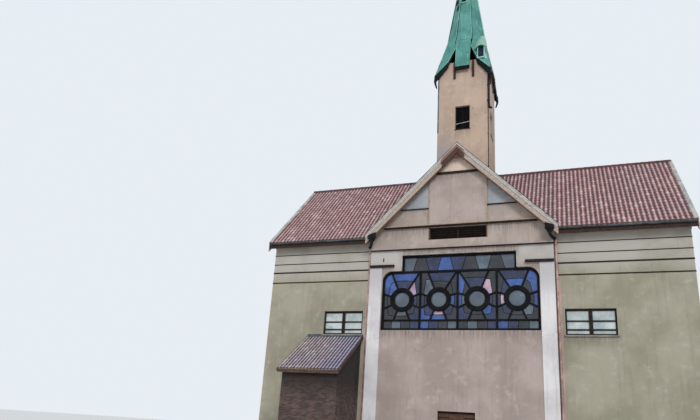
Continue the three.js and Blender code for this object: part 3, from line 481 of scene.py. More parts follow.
GLASS_COLOURS = {
    "blue": ((62, 98, 164), (36, 62, 122)),
    "navy": ((40, 52, 94), (20, 28, 58)),
    "grey": ((98, 112, 122), (62, 76, 88)),
    "pink": ((196, 168, 184), (148, 122, 142)),
    "smoke": ((44, 50, 58), (22, 26, 32)),
    "moon": ((90, 102, 113), (68, 80, 92), 0.08),
    # Pale glass: a painted reflection of the sky, for the wings' windows
    "pale": ((200, 208, 206), (150, 162, 162), 0.08),
}
PANES = {name: coloured_glass(f"glass_{name}", *look) for name, look in GLASS_COLOURS.items()}

# The darkest finishes are dull, or they would mirror the pale surroundings and turn grey.
for dull in (LEAD, SHUTTER_SHADE, SHADE_COPPER, DARK_METAL, DARK_WOOD, BROWN_WOOD, RECESS_SHADE, GREEN_METAL):
    dull.node_tree.nodes["Principled BSDF"].inputs["Specular IOR Level"].default_value = 0.12


@contextmanager
def editing(made):
    """A piece's mesh, open for changes."""
    work = bmesh.new()
    work.from_mesh(made.data)
    yield work
    work.to_mesh(made.data)
    work.free()


def bisect(work, point, normal, clear=False):
    """Cuts a mesh along a plane, and with clear removes what is on the side that the normal points to."""
    geometry = work.verts[:] + work.edges[:] + work.faces[:]
    bmesh.ops.bisect_plane(work, geom=geometry, plane_co=point, plane_no=normal, clear_outer=clear)


def mesh_piece(name, vertices, faces, material, slot, smooth=0, replaces=(), closed=False, **numbers):
    """A new piece that rides on the church. numbers hold one value a point, edges sharper than smooth degrees
    stay hard, and closed turns the faces outwards."""
    data = bpy.data.meshes.new(name)
    data.from_pydata([tuple(v) for v in vertices], [], faces)
    data.materials.append(material)
    for key, values in numbers.items():
        layer = data.attributes.new(key, "FLOAT", "POINT")
        layer.data.foreach_set("value", np.asarray(values, dtype=np.float32))
    made = add_object(name, data)
    if closed:
        with editing(made) as work:
            bmesh.ops.recalc_face_normals(work, faces=work.faces)
    if smooth:
        data.polygons.foreach_set("use_smooth", [True] * len(data.polygons))
        data.set_sharp_from_angle(angle=math.radians(smooth))
    data.update()
    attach(made, "root")
    if replaces:
        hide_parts(*replaces)
    return made


def quads(rows, columns, ring=True, loop=False, first=0):
    """The faces of a grid of points. ring joins each row's ends, and loop joins the last row to the first."""
    faces = []
    for i in range(rows if loop else rows - 1):
        for j in range(columns if ring else columns - 1):
            low, high = first + i * columns, first + (i + 1) % rows * columns
            after = (j + 1) % columns
            faces.append((low + j, low + after, high + after, high + j))
    return faces


def circle(steps):
    return np.linspace(0, 2 * math.pi, steps, endpoint=False)


BOX_CORNERS = np.array([(x, y, z) for x in (-0.5, 0.5) for y in (-0.5, 0.5) for z in (-0.5, 0.5)])
BOX_FACES = ((0, 1, 3, 2), (4, 6, 7, 5), (0, 4, 5, 1), (2, 3, 7, 6), (0, 2, 6, 4), (1, 5, 7, 3))
SMOOTH = 180


class Builder:
    """Collects boxes, bars, tubes and plates, and turns them into one piece."""

    def __init__(self):
        self.points = np.empty((0, 3))
        self.faces = []
        self.tints = []

    def put(self, points, faces, tint=0.5):
        base = len(self.points)
        self.points = np.concatenate((self.points, np.asarray(points, dtype=float)))
        self.faces += [tuple(int(i) + base for i in face) for face in faces]
        self.tints += list(np.broadcast_to(tint, len(points)))

    def box(self, corner, other, tint=0.5):
        """A box between any two opposite corners."""
        low, high = np.minimum(corner, other), np.maximum(corner, other)
        self.put((low + high) / 2 + BOX_CORNERS * (high - low), BOX_FACES, tint)

    def bar(self, start, end, across, depth, side, tint=0.5):
        """A straight bar of a rectangular section. side is the direction that across is measured in."""
        start, end, side = Vector(start), Vector(end), Vector(side)
        along = (end - start).normalized()
        side = (side - along * side.dot(along)).normalized()
        turn = np.array((along, side, along.cross(side)))
        corners = BOX_CORNERS * np.array(((end - start).length, across, depth))
        self.put(np.array((start + end) / 2) + corners @ turn, BOX_FACES, tint)

    def loft(self, rings, tint=0.5, open_start=False, loop=False):
        """Joins rings of points. The ends are closed, apart from an open start, and a loop has none."""
        count = len(rings[0])
        faces = quads(len(rings), count, loop=loop)
        if not loop:
            faces.append(tuple(range((len(rings) - 1) * count, len(rings) * count)))
            if not open_start:
                faces.append(tuple(reversed(range(count))))
        self.put([tuple(point) for ring in rings for point in ring], faces, tint)

    def tube(self, points, radius, sides=10):
        """A round tube along a list of points, with one radius or one for each point, and closed ends."""
        points = [Vector(p) for p in points]
        sizes = radius if isinstance(radius, (list, tuple)) else [radius] * len(points)
        rings = []
        reference = Vector((0, 0, 1))
        for i, (point, size) in enumerate(zip(points, sizes)):
            ahead = (points[min(i + 1, len(points) - 1)] - points[max(i - 1, 0)]).normalized()
            if abs(ahead.dot(reference)) > 0.95:
                reference = Vector((1, 0, 0)) if abs(ahead.x) < 0.9 else Vector((0, 1, 0))
            side = ahead.cross(reference).normalized()
            other = ahead.cross(side)
            rings.append([point + (side * math.cos(a) + other * math.sin(a)) * size for a in circle(sides)])
        self.loft(rings)

    def plate(self, outline, start, end, axis=1, tint=0.5):
        """An upright plate: an outline of (across, z) points, and a thickness along x (0) or y (1)."""
        rings = [[(u, a, z) if axis else (a, u, z) for u, z in outline] for a in (start, end)]
        self.loft(rings, tint)

    def strip(self, start, end, up, proud):
        """A strip of sheet from one point to another, as tall as up and as thick as proud."""
        start, end, up = Vector(start), Vector(end), Vector(up)
        ring = [start, end, end + up, start + up]
        self.loft([ring, [point + Vector(proud) for point in ring]])

    def flipped(self, axis):
        """Moves everything to the other side of the middle."""
        self.points[:, axis] *= -1
        self.faces = [face[::-1] for face in self.faces]

    def mirrored(self, axis):
        """The same shapes once more, on the other side of the middle."""
        points = self.points.copy()
        points[:, axis] *= -1
        self.put(points, [face[::-1] for face in self.faces], self.tints)

    def turned(self, quarters=1):
        """Turns everything by quarter turns about the turret's axis."""
        for _ in range(quarters):
            x, y = self.points[:, 0].copy(), self.points[:, 1] - TOWER_Y
            self.points[:, 0], self.points[:, 1] = -y, x + TOWER_Y
        return self

    def piece(self, name, material, slot, bevel=0.0, smooth=0, replaces=()):
        made = mesh_piece(name, self.points, self.faces, material, slot, smooth, replaces, True,
                          tint=self.tints)
        if bevel:
            modifier = made.modifiers.new("worn_edges", "BEVEL")
            modifier.width = bevel
            modifier.segments = 2
            modifier.limit_method = "ANGLE"
        return made


def builders(count):
    return [Builder() for _ in range(count)]


def place_all(made, side, face):
    """Moves what was built for the right and the front to its own side and face."""
    for builder in made:
        if side < 0:
            builder.flipped(0)
        if face > 0:
            builder.flipped(1)


# Tiles

TILE_WIDTH = 0.225
TILE_COURSE = 0.335
TILE_LAP = 1.06
TILE_LIFT = 0.02
TILE_CREST = 0.045
TILE_BASE = 0.012
TILE_COLUMNS = 8
TILE_JITTER = 0.004
TILE_ANGLE = 50
WING_SEED = 10
GABLE_SEED = 30
CAP_LENGTH = 0.38
CAP_RADIUS = 0.125
CAP_LAP = 1.08
# The ridge caps' crest number, at which they get neither the painted highlight nor the painted shade of the
# tiles
CAP_CREST_LIGHT = 0.6
ROUND_ANGLE = 45
VALLEY_GAP = 0.06
TOWER_MARGIN = 0.01


def tile_slope(name, corner, along, up, width, length, seed, material=TILE, slot="roof_tiles",
               cover=TILE_WIDTH):
    """A slope of overlapping tiles from a corner at the eave, each a patch of its own with a thick foot."""
    draw = random.Random(seed)
    corner, along, up = Vector(corner), Vector(along).normalized(), Vector(up).normalized()
    normal = along.cross(up)
    if normal.z < 0:
        normal = -normal
    count = round(width / cover)
    step = width / count
    shares = [i / TILE_COLUMNS for i in range(TILE_COLUMNS + 1)]
    profile = [TILE_CREST * (0.5 - 0.5 * math.cos(2 * math.pi * share)) ** 1.35 for share in shares]
    vertices, faces, tints, crest_light = [], [], [], []
    for row in range(math.ceil(length / TILE_COURSE)):
        low = row * TILE_COURSE
        high = min(low + TILE_COURSE * TILE_LAP, length)
        for column in range(count):
            tone = draw.random()
            lift = draw.uniform(0, TILE_JITTER)
            slide, tip = (draw.uniform(-TILE_JITTER, TILE_JITTER) for _ in range(2))
            faces += quads(3, len(shares), ring=False, first=len(vertices))
            foot = low + slide
            # lit lowers the crest number on the face of each tile's foot, which gives painted shade there
            for place, drop, lit in ((foot, TILE_LIFT, 0.35), (foot, 0.0, 1.0), (high, TILE_LIFT, 1.0)):
                for share, height in zip(shares, profile):
                    rise = TILE_BASE + TILE_LIFT + height + lift - drop + tip * (share - 0.5)
                    vertices.append(corner + along * (column + share) * step + up * place + normal * rise)
                    tints.append(tone)
                    crest_light.append(height / TILE_CREST * lit)
    made = mesh_piece(name, vertices, faces, material, slot, TILE_ANGLE, tint=tints, crest=crest_light)
    if made.data.polygons[TILE_COLUMNS].normal.z < 0:
        made.data.flip_normals()
    return made


def clear_tower(slope, side):
    """Takes the tiles away where the turret stands on them."""
    front, back, half = TOWER_FRONT - TOWER_MARGIN, TOWER_BACK + TOWER_MARGIN, TOWER_HALF + TOWER_MARGIN
    with editing(slope) as work:
        bisect(work, (0, front, 0), (0, 1, 0))
        bisect(work, (0, back, 0), (0, 1, 0))
        bisect(work, (side * half, 0, 0), (1, 0, 0))
        middles = [(face, face.calc_center_median()) for face in work.faces]
        inside = [face for face, middle in middles if abs(middle.x) < half and front < middle.y < back]
        bmesh.ops.delete(work, geom=inside, context="FACES")


def roof_tiles(side, side_name, face, face_name):
    """A wing's slope and the gable roof's beside it, cut along their valley and round the turret."""
    across = Vector((side, -face, 0)).normalized()
    valley = Vector((0, face * RIDGE_STEP, 0)) - across * VALLEY_GAP
    wing_corner = (side * WING_VERGE, face * MAIN_EAVE, MAIN_RIDGE - MAIN_EAVE)
    wing = tile_slope(f"{side_name}_wing_{face_name}_tiles", wing_corner, (-side, 0, 0), (0, -face, 1),
                      WING_VERGE, MAIN_EAVE / SLOPE, WING_SEED + 2 * (side > 0) + (face > 0))
    gable_corner = (side * CROSS_EAVE, -face * VERGE, CROSS_RIDGE - CROSS_EAVE)
    gable = tile_slope(f"{face_name}_gable_{side_name}_tiles", gable_corner, (0, -face, 0), (-side, 0, 1),
                       -VERGE - RIDGE_STEP, CROSS_EAVE / SLOPE, GABLE_SEED + 2 * (face > 0) + (side > 0))
    for slope, outward in ((wing, -across), (gable, across)):
        with editing(slope) as work:
            bisect(work, valley, outward, clear=True)
        if face < 0:
            clear_tower(slope, side)


def ridge_caps(name, start, end):
    """Half-round ridge tiles, each lapped over the next."""
    start, end = Vector(start), Vector(end)
    along = (end - start).normalized()
    side = along.cross(Vector((0, 0, 1))).normalized()
    count = max(1, round((end - start).length / CAP_LENGTH))
    step = (end - start).length / count
    draw = random.Random(name)
    arc = np.linspace(-0.62 * math.pi, 0.62 * math.pi, 11)
    vertices, faces, tints = [], [], []
    for i in range(count):
        lap = 1.0 if i == count - 1 else CAP_LAP
        faces += quads(4, len(arc), ring=False, first=len(vertices))
        for place, size in ((0, 0.90), (0, 1.08), (lap, 0.98), (lap, 0.86)):
            centre = start + along * (i + place) * step
            radius = CAP_RADIUS * size
            vertices += [centre + side * math.sin(a) * radius + Vector((0, 0, math.cos(a) * radius))
                         for a in arc]
        tints += [draw.random()] * 4 * len(arc)
    first, last = len(arc), len(vertices) - 2 * len(arc)
    faces += [tuple(reversed(range(first, first + len(arc)))), tuple(range(last, last + len(arc)))]
    mesh_piece(name, vertices, faces, RIDGE_TILE, "roof_tiles", ROUND_ANGLE, tint=tints,
               crest=[CAP_CREST_LIGHT] * len(tints))


def all_ridges():
    for name, start, end, ridge in (
        ("main_ridge_tiles", (-WING_VERGE, 0), (WING_VERGE, 0), MAIN_RIDGE),
        ("front_ridge_tiles", (0, VERGE), (0, TOWER_FRONT - 0.02), CROSS_RIDGE),
        ("front_ridge_tiles_behind_tower", (0, TOWER_BACK + 0.02), (0, -RIDGE_STEP), CROSS_RIDGE),
        ("rear_ridge_tiles", (0, -VERGE), (0, RIDGE_STEP), CROSS_RIDGE),
    ):
        ridge_caps(name, (*start, ridge + 0.02), (*end, ridge + 0.02))


# The big stained-glass windows

BAY_COUNT = 4
BAY_WIDTH = 1.945
FRAME_BAR = 0.12
FRAME_REACH = WINDOW_HALF - FRAME_BAR / 2
MULLION = 0.10
TRANSOM = 0.09
RADIAL_BAR = 0.085
RING_EDGE = 0.02
LEAD_RADIUS = 0.014
TRANSOM_Z = 7.13
ROSE_Z = 8.22
ROSE_INNER = 0.40
ROSE_OUTER = 0.64
DISC_RINGS = 6
DISC_STEPS = 32
DISC_BULGE = 0.035
PANE_THICKNESS = 0.008
PANE_TILT = 0.012
PANE_FACE = GLASS_FACE - 0.012
SECTOR_ANGLES = (18, 58, 112, 162, 205, 248, 292, 335, 378)
INNER_COLOURS = ("pink", "navy", "blue", "smoke", "smoke", "grey", "smoke", "navy")
OUTER_COLOURS = ("navy", "blue", "blue", "smoke", "smoke", "smoke", "navy", "smoke")
BAND_COLOURS = ("navy", "smoke", "moon", "blue", "grey", "smoke", "navy", "smoke")
WINDOW_PANES = ("blue", "navy", "grey", "pink", "smoke", "moon")


def window_edge(inset):
    """The stepped outline of the big window as (x, z) points, moved inwards by an inset."""
    half, shoulder = WINDOW_HALF - inset, WINDOW_SHOULDER - inset
    radius, step = WINDOW_CORNER - inset, WINDOW_STEP - inset
    right = [(half, WINDOW_SILL + inset)]
    for angle in np.linspace(0, math.pi / 2, 9):
        right.append((half - radius + radius * math.cos(angle), shoulder - radius + radius * math.sin(angle)))
    right += [(step, shoulder), (step, WINDOW_HEAD - inset)]
    return right + [(-x, z) for x, z in reversed(right)]


def in_round_shoulder(x, z):
    """Whether a point is inside the frame at the window's round upper corner."""
    across = abs(x) - (WINDOW_HALF - WINDOW_CORNER)
    above = z - (WINDOW_SHOULDER - WINDOW_CORNER)
    return across <= 0 or above <= 0 or math.hypot(across, above) < WINDOW_CORNER - FRAME_BAR / 2


def sector_outline(x0, start, end):
    """A pane between the rose's ring and the edge of its bay, from one angle in degrees to another."""
    half = BAY_WIDTH / 2
    below, above = ROSE_Z - TRANSOM_Z, WINDOW_SHOULDER - MULLION / 2 - ROSE_Z
    corners = [math.degrees(math.atan2(z, x)) % 360 for x in (-half, half) for z in (-below, above)]
    angles = set(np.linspace(start, end, max(3, int((end - start) / 5))))
    angles |= {a + turn for a in corners for turn in (0, 360) if start < a + turn < end}
    inner, outer = [], []
    for angle in sorted(angles):
        east, north = math.cos(math.radians(angle)), math.sin(math.radians(angle))
        reach = min(half / max(abs(east), 1e-6), (above if north > 0 else below) / max(abs(north), 1e-6))
        while not in_round_shoulder(x0 + reach * east, ROSE_Z + reach * north):
            reach -= 0.01
        for points, radius in ((inner, ROSE_OUTER * 0.9), (outer, reach)):
            points.append((x0 + radius * east, ROSE_Z + radius * north))
    return inner, outer


def tilted_plate(builder, outline, face, draw):
    """A pane that lies a little out of true, so that each one catches the light by itself."""
    tone = draw.random()
    lean = [draw.uniform(-PANE_TILT, PANE_TILT) for _ in range(2)]
    middle = np.mean(outline, axis=0)
    front = [(x, face + (x - middle[0]) * lean[0] + (z - middle[1]) * lean[1], z) for x, z in outline]
    builder.loft([front, [(x, y + PANE_THICKNESS, z) for x, y, z in front]], tone)


def lead_line(leads, line):
    leads.tube([(x, PANE_FACE - 0.006, z) for x, z in line], LEAD_RADIUS, 6)


def bay_panes(panes, leads, bars, bay, draw):
    """One bay: a round light in its ring, eight sectors about it, and their bars and lead lines."""
    x0 = (bay - (BAY_COUNT - 1) / 2) * BAY_WIDTH
    centre = Vector((x0, (BAR_FACE + RING_EDGE + GLASS_FACE) / 2, ROSE_Z))
    for i, (start, end) in enumerate(zip(SECTOR_ANGLES, SECTOR_ANGLES[1:])):
        if x0 > 0:
            start, end = 180 - end, 180 - start
        inner, outer = sector_outline(x0, start, end)
        split = draw.uniform(0.42, 0.6)
        middle = [(a[0] + (b[0] - a[0]) * split, a[1] + (b[1] - a[1]) * split) for a, b in zip(inner, outer)]
        tilted_plate(panes[INNER_COLOURS[(i + 3 * bay) % 8]], inner + middle[::-1], PANE_FACE, draw)
        tilted_plate(panes[OUTER_COLOURS[(i + 5 * bay) % 8]], middle + outer[::-1], PANE_FACE, draw)
        lead_line(leads, middle)
        direction = Vector((math.cos(math.radians(start)), 0, math.sin(math.radians(start))))
        bars.bar(centre + direction * (ROSE_OUTER - 0.05), (outer[0][0], centre.y, outer[0][1]), RADIAL_BAR,
                 GLASS_FACE - BAR_FACE - RING_EDGE, direction.cross(Vector((0, 1, 0))))
    section = [(ROSE_INNER, GLASS_FACE), (ROSE_INNER, BAR_FACE + RING_EDGE),
               (ROSE_INNER + RING_EDGE, BAR_FACE), (ROSE_OUTER - RING_EDGE, BAR_FACE),
               (ROSE_OUTER, BAR_FACE + RING_EDGE), (ROSE_OUTER, GLASS_FACE)]
    bars.loft([[(x0 + r * math.cos(a), y, ROSE_Z + r * math.sin(a)) for r, y in section]
               for a in circle(40)], loop=True)
    round_light(panes["moon"], x0, draw)


def round_light(glass, x, draw):
    """A spun disc of glass: its rings ripple out from a small boss in the middle."""
    points = [(x, GLASS_FACE - DISC_BULGE, ROSE_Z)]
    for i in range(1, DISC_RINGS + 1):
        radius = ROSE_INNER * 1.04 * i / DISC_RINGS
        bulge = DISC_BULGE * (1 - (i / DISC_RINGS) ** 2) + 0.004 * (i % 2)
        points += [(x + radius * math.cos(a), GLASS_FACE - 0.004 - bulge, ROSE_Z + radius * math.sin(a))
                   for a in circle(DISC_STEPS)]
    faces = [(0, 1 + j, 1 + (j + 1) % DISC_STEPS) for j in range(DISC_STEPS)]
    faces += [(a, d, c, b) for a, b, c, d in quads(DISC_RINGS, DISC_STEPS, first=1)]
    glass.put(points, faces, draw.random())


def band_panes(panes, leads, low, high, half, count, slant, draw):
    """A row of panes between two heights, with slanting lead lines between them."""
    slants = [0.0] + [slant * (1 if i % 2 else -1) for i in range(1, count)] + [0.0]
    lines = [((x - s, low), (x + s, high)) for x, s in zip(np.linspace(-half, half, count + 1), slants)]
    for i, (left, right) in enumerate(zip(lines, lines[1:])):
        colour = BAND_COLOURS[(i * 3 + int(high)) % 8]
        tilted_plate(panes[colour], [left[0], right[0], right[1], left[1]], PANE_FACE, draw)
        if i:
            lead_line(leads, left)


def frame_bars(bars):
    """The frame round the window, its mullions and its transoms."""
    corners = ((0.002, BAR_FACE), (FRAME_BAR, BAR_FACE), (FRAME_BAR, GLASS_FACE), (0.002, GLASS_FACE))
    bars.loft([[(x, y, z) for x, z in window_edge(inset)] for inset, y in corners], loop=True)
    low, high = WINDOW_SILL + FRAME_BAR / 2, WINDOW_SHOULDER - MULLION / 2
    boxes = [((i - BAY_COUNT / 2) * BAY_WIDTH, MULLION / 2, 0.005, low, high) for i in range(1, BAY_COUNT)]
    boxes.append((0, FRAME_REACH, 0.012, TRANSOM_Z - TRANSOM / 2, TRANSOM_Z + TRANSOM / 2))
    boxes.append((0, WINDOW_STEP, 0.008, WINDOW_SHOULDER - 0.105, WINDOW_SHOULDER + 0.005))
    for x, half, back, z0, z1 in boxes:
        bars.box((x - half, BAR_FACE + back, z0), (x + half, GLASS_FACE, z1))


def big_window(face, name):
    """The whole window of one gable."""
    draw = random.Random(name)
    panes = {colour: Builder() for colour in WINDOW_PANES}
    leads, bars = builders(2)
    for bay in range(BAY_COUNT):
        bay_panes(panes, leads, bars, bay, draw)
    edge = FRAME_BAR / 2
    band_panes(panes, leads, WINDOW_SILL + edge, TRANSOM_Z, FRAME_REACH, 16, 0.0, draw)
    band_panes(panes, leads, WINDOW_SHOULDER, WINDOW_HEAD - edge, WINDOW_STEP - edge, 9, 0.11, draw)
    frame_bars(bars)
    place_all([leads, bars, *panes.values()], 1, face)
    bars.piece(f"{name}_window_bars", LEAD, "lead", 0.006, replaces=[f"{name}_window_tracery"])
    leads.piece(f"{name}_window_leads", LEAD, "lead", smooth=SMOOTH)
    for colour, builder in panes.items():
        pane = builder.piece(f"{name}_window_{colour}_panes", PANES[colour], "stained_glass",
                             replaces=[f"{name}_window_glass"])
        pane.data.validate()


STILE = 0.075
RAIL = 0.07
MEETING_STILE = 0.085
SASH_RAILS = (6.69, 7.10)
SILL_PROUD = 0.07
SILL_REACH = 0.06


def wing_window(side, side_name, face, face_name):
    """A wing window: a dark frame of two sashes and three rows of lights, pale with a painted sky reflection,
    over a sill.
    """
    name = f"{side_name}_wing_{face_name}"
    low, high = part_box(f"{name}_window")
    bottom, top = low[2], high[2]
    x0, x1 = sorted((abs(low[0]), abs(high[0])))
    middle = (x0 + x1) / 2
    y_glass = -max(abs(low[1]), abs(high[1]))
    front, back = y_glass - 0.06, y_glass + 0.05
    draw = random.Random(side_name + face_name)
    wood, glass, sill_shade = builders(3)
    for a, b in ((x0, x0 + STILE), (x1 - STILE, x1), (middle - MEETING_STILE, middle + MEETING_STILE)):
        wood.box((a, front, bottom), (b, back, top))
    rails = (bottom + RAIL / 2, *SASH_RAILS, top - RAIL / 2 - 0.03)
    for z in rails:
        wood.box((x0, front + 0.012, z - RAIL / 2), (x1, back, z + RAIL / 2))
    wood.box((middle - 0.012, front - 0.012, bottom), (middle + 0.012, front, top))
    for a, b in ((x0 + STILE, middle - MEETING_STILE), (middle + MEETING_STILE, x1 - STILE)):
        for z0, z1 in zip(rails, rails[1:]):
            tilted_plate(glass, [(a, z0), (b, z0), (b, z1), (a, z1)], y_glass - 0.005, draw)
    section = [(WING_FRONT - SILL_PROUD, bottom - 0.085), (WING_FRONT, bottom - 0.085),
               (WING_FRONT, bottom - 0.005), (WING_FRONT - SILL_PROUD, bottom - 0.025)]
    sill_shade.plate(section, x0 - SILL_REACH, x1 + SILL_REACH, 0)
    place_all((wood, glass, sill_shade), side, face)
    wood.piece(f"{name}_window_frame", DARK_WOOD, "dark_paint", 0.006, replaces=[f"{name}_window"])
    glass.piece(f"{name}_window_lights", PANES["pale"], "pale_glass")
    sill_shade.piece(f"{name}_window_sill", CONCRETE, "concrete", 0.008)


# Masonry and roof of the lean-to

BRICK_LENGTH = 0.225
BRICK_COURSE = 0.075
BRICK_JOINT = 0.010
BRICK_PROUD = 0.008
BRICK_WEAR = 0.004
SQUARE = ((-1, -1), (1, -1), (1, 1), (-1, 1))
ANNEX_COVER = 0.175
ANNEX_TOP = 6.3
ANNEX_SLOPE = (ANNEX_TOP - ANNEX_EAVE) / (ANNEX_ROOF_HIGH[1] - ANNEX_ROOF_LOW[1])
ANNEX_COVERING = 0.16
ANNEX_LAP = 0.02
ANNEX_SEED = 50
VERGE_BOARD = 0.03
APRON = 0.2


def brick_wall(name, start, along, outward, length, top_at, seed):
    """A face of bricks in running bond. top_at gives the wall's height at a distance along it."""
    draw = random.Random(seed)
    start, along, outward = Vector(start), Vector(along), Vector(outward)
    builder = Builder()
    for course in range(math.ceil(max(top_at(0), top_at(length)) / BRICK_COURSE)):
        low = course * BRICK_COURSE + BRICK_JOINT / 2
        place = -BRICK_LENGTH / 2 * (course % 2)
        while place < length - 0.02:
            a = max(place + BRICK_JOINT / 2, 0)
            b = min(place + BRICK_LENGTH - BRICK_JOINT / 2, length)
            place += BRICK_LENGTH
            high = min(low + BRICK_COURSE - BRICK_JOINT, top_at(a), top_at(b))
            if b - a < 0.03 or high - low < 0.02:
                continue
            proud = BRICK_PROUD + draw.uniform(-0.003, 0.003)
            tilt = draw.uniform(-0.002, 0.002)
            centre = start + along * (a + b) / 2 + Vector((0, 0, (low + high) / 2))
            rings = []
            for depth, shrink in ((-0.02, 0.0), (proud - 0.003, 0.0), (proud, BRICK_WEAR)):
                wide, tall = (b - a) / 2 - shrink, (high - low) / 2 - shrink
                rings.append([centre + along * wide * u + outward * (depth + tilt * u)
                              + Vector((0, 0, tall * v)) for u, v in SQUARE])
            builder.loft(rings, draw.random(), open_start=True)
    builder.piece(name, BRICK, "brick")


def annex_bricks():
    left, front, _ = ANNEX_LOW
    right, _, eave = ANNEX_HIGH

    def under_roof(distance):
        return ANNEX_EAVE - ANNEX_COVERING - 0.01 + ANNEX_SLOPE * (front + distance - ANNEX_ROOF_LOW[1])

    for name, corner, along, outward, length, top_at, seed in (
        ("front", left, (1, 0, 0), (0, -1, 0), right - left, lambda distance: eave - 0.01, 71),
        ("left", left, (0, 1, 0), (-1, 0, 0), WING_FRONT - front, under_roof, 72),
        ("right", right, (0, 1, 0), (1, 0, 0), FRONT - front, under_roof, 73),
    ):
        brick_wall(f"annex_{name}_bricks", (corner, front, 0), along, outward, length, top_at, seed)


def annex_roof():
    """The lean-to's tiles, its verge boards in two lengths each, and the flashing at the wall."""
    (left, front, _), (right, back, _) = ANNEX_ROOF_LOW, ANNEX_ROOF_HIGH
    run = back - front
    length = (run - ANNEX_LAP) * math.hypot(1, ANNEX_SLOPE)
    tile_slope("annex_tiles", (left, front + ANNEX_LAP, ANNEX_EAVE + ANNEX_LAP * ANNEX_SLOPE), (1, 0, 0),
               (0, 1, ANNEX_SLOPE), right - left, length, ANNEX_SEED, ANNEX_TILE, "annex_tiles", ANNEX_COVER)
    trim, flashing = builders(2)
    for x in (left - VERGE_BOARD / 2, right + VERGE_BOARD / 2):
        for start, end in ((0.0, 0.5), (0.5, 1.0)):
            z0, z1 = (ANNEX_EAVE + ANNEX_SLOPE * run * share - 0.06 for share in (start, end))
            trim.bar((x, front + run * start, z0), (x, front + run * end - 0.004, z1), VERGE_BOARD, 0.14,
                     (1, 0, 0))
    trim.piece("annex_verge_boards", BROWN_FASCIA, "board_paint", 0.005)
    drop = APRON * ANNEX_SLOPE
    flashing.plate([(back, ANNEX_TOP + 0.085), (back - APRON, ANNEX_TOP + 0.085 - drop),
                    (back - APRON, ANNEX_TOP + 0.07 - drop), (back, ANNEX_TOP + 0.07)], left, right, 0)
    flashing.box((left, back - 0.012, ANNEX_TOP), (right, back, ANNEX_TOP + 0.12))
    flashing.piece("annex_flashing", GREY_METAL, "lead", 0.006)


# Boards along the gables

FASCIA_TOP = 0.11
FASCIA_LOW = -0.11
BARGE_LOW = -0.46
BOARD_GAP = 0.004
SOFFIT_BOARD = 0.124
SOFFIT_HEIGHTS = (-ROOF_THICKNESS - 0.02, -ROOF_THICKNESS)
GABLE_STOPS = (0, 1.72, 3.36, CROSS_EAVE)
WING_STOPS = (0, 1.9, 3.6, MAIN_EAVE)


def rake(builder, side, stops, heights, depths, ridge, axis=1, seed=None):
    """Boards down a 45 degree slope. heights are above the roof's face, measured upright. With a seed the
    boards end at the stops with a gap, and each has its own tone and place. Without one they are plain."""
    draw = random.Random(seed or 0)
    low, high = heights
    for start, end in zip(stops, stops[1:]):
        shift, tint = 0.0, 0.5
        if seed is not None:
            shift, tint = draw.uniform(-0.003, 0.003), draw.random()
            start, end = start + BOARD_GAP / 2, end - BOARD_GAP / 2
        corners = ((start, low), (end, low), (end, high), (start, high))
        outline = [(side * u, ridge - u + lift) for u, lift in corners]
        builder.plate(outline, depths[0] + shift, depths[1], axis, tint)


def front_trim():
    """The pale fascia, the rusty lower edge, the flashings and the soffit of the front gable."""
    fascia, rust, flashing, verge, soffit, red = builders(6)
    board = VERGE - 0.05
    course = (FRONT - VERGE) / 3
    whole = (0, CROSS_EAVE + 0.02)
    for side, _ in SIDES:
        seed = 2 + side
        rows = [
            (fascia, GABLE_STOPS, (FASCIA_LOW, FASCIA_TOP), (board - 0.032, board), seed),
            (fascia, GABLE_STOPS, (FASCIA_LOW - 0.035, FASCIA_LOW), (board - 0.014, board), seed),
            (rust, GABLE_STOPS, (BARGE_LOW - 0.045, BARGE_LOW + 0.035), (board - 0.018, board + 0.06), seed),
            (flashing, whole, (FASCIA_TOP, FASCIA_TOP + 0.012), (board - 0.045, VERGE + 0.15), None),
            (flashing, whole, (FASCIA_TOP - 0.07, FASCIA_TOP), (board - 0.045, board - 0.034), None),
            (verge, whole, (FASCIA_TOP + 0.014, FASCIA_TOP + 0.055), (board - 0.04, VERGE + 0.02), None),
        ]
        for i in range(3):
            start = VERGE + 0.004 + i * course
            depths = (start, start + course - 0.006)
            rows.append((red, (0, 0.93), SOFFIT_HEIGHTS, depths, None))
            rows.append((soffit, (0.95, 2.9, CROSS_EAVE - 0.02), SOFFIT_HEIGHTS, depths, i))
        for builder, stops, heights, depths, row_seed in rows:
            rake(builder, side, stops, heights, depths, CROSS_RIDGE, seed=row_seed)
    apex = CROSS_RIDGE + BARGE_LOW
    outline = [(-0.30, apex - 0.28), (0.30, apex - 0.28), (0.02, apex + 0.02), (-0.02, apex + 0.02)]
    red.plate(outline, VERGE - 0.02, VERGE)
    fascia.piece("front_fascia_boards", FASCIA, "board_paint", 0.004)
    rust.piece("front_barge_edge", RUSTY_EDGE, "board_paint", 0.004)
    flashing.piece("front_verge_flashing", FLASHING, "dark_metal")
    verge.piece("front_verge_edge", DARK_METAL, "dark_metal", 0.003)
    soffit.piece("front_soffit_boards", SOFFIT, "board_paint", 0.003)
    red.piece("front_apex_boards", RED_SOFFIT, "board_paint", 0.003)


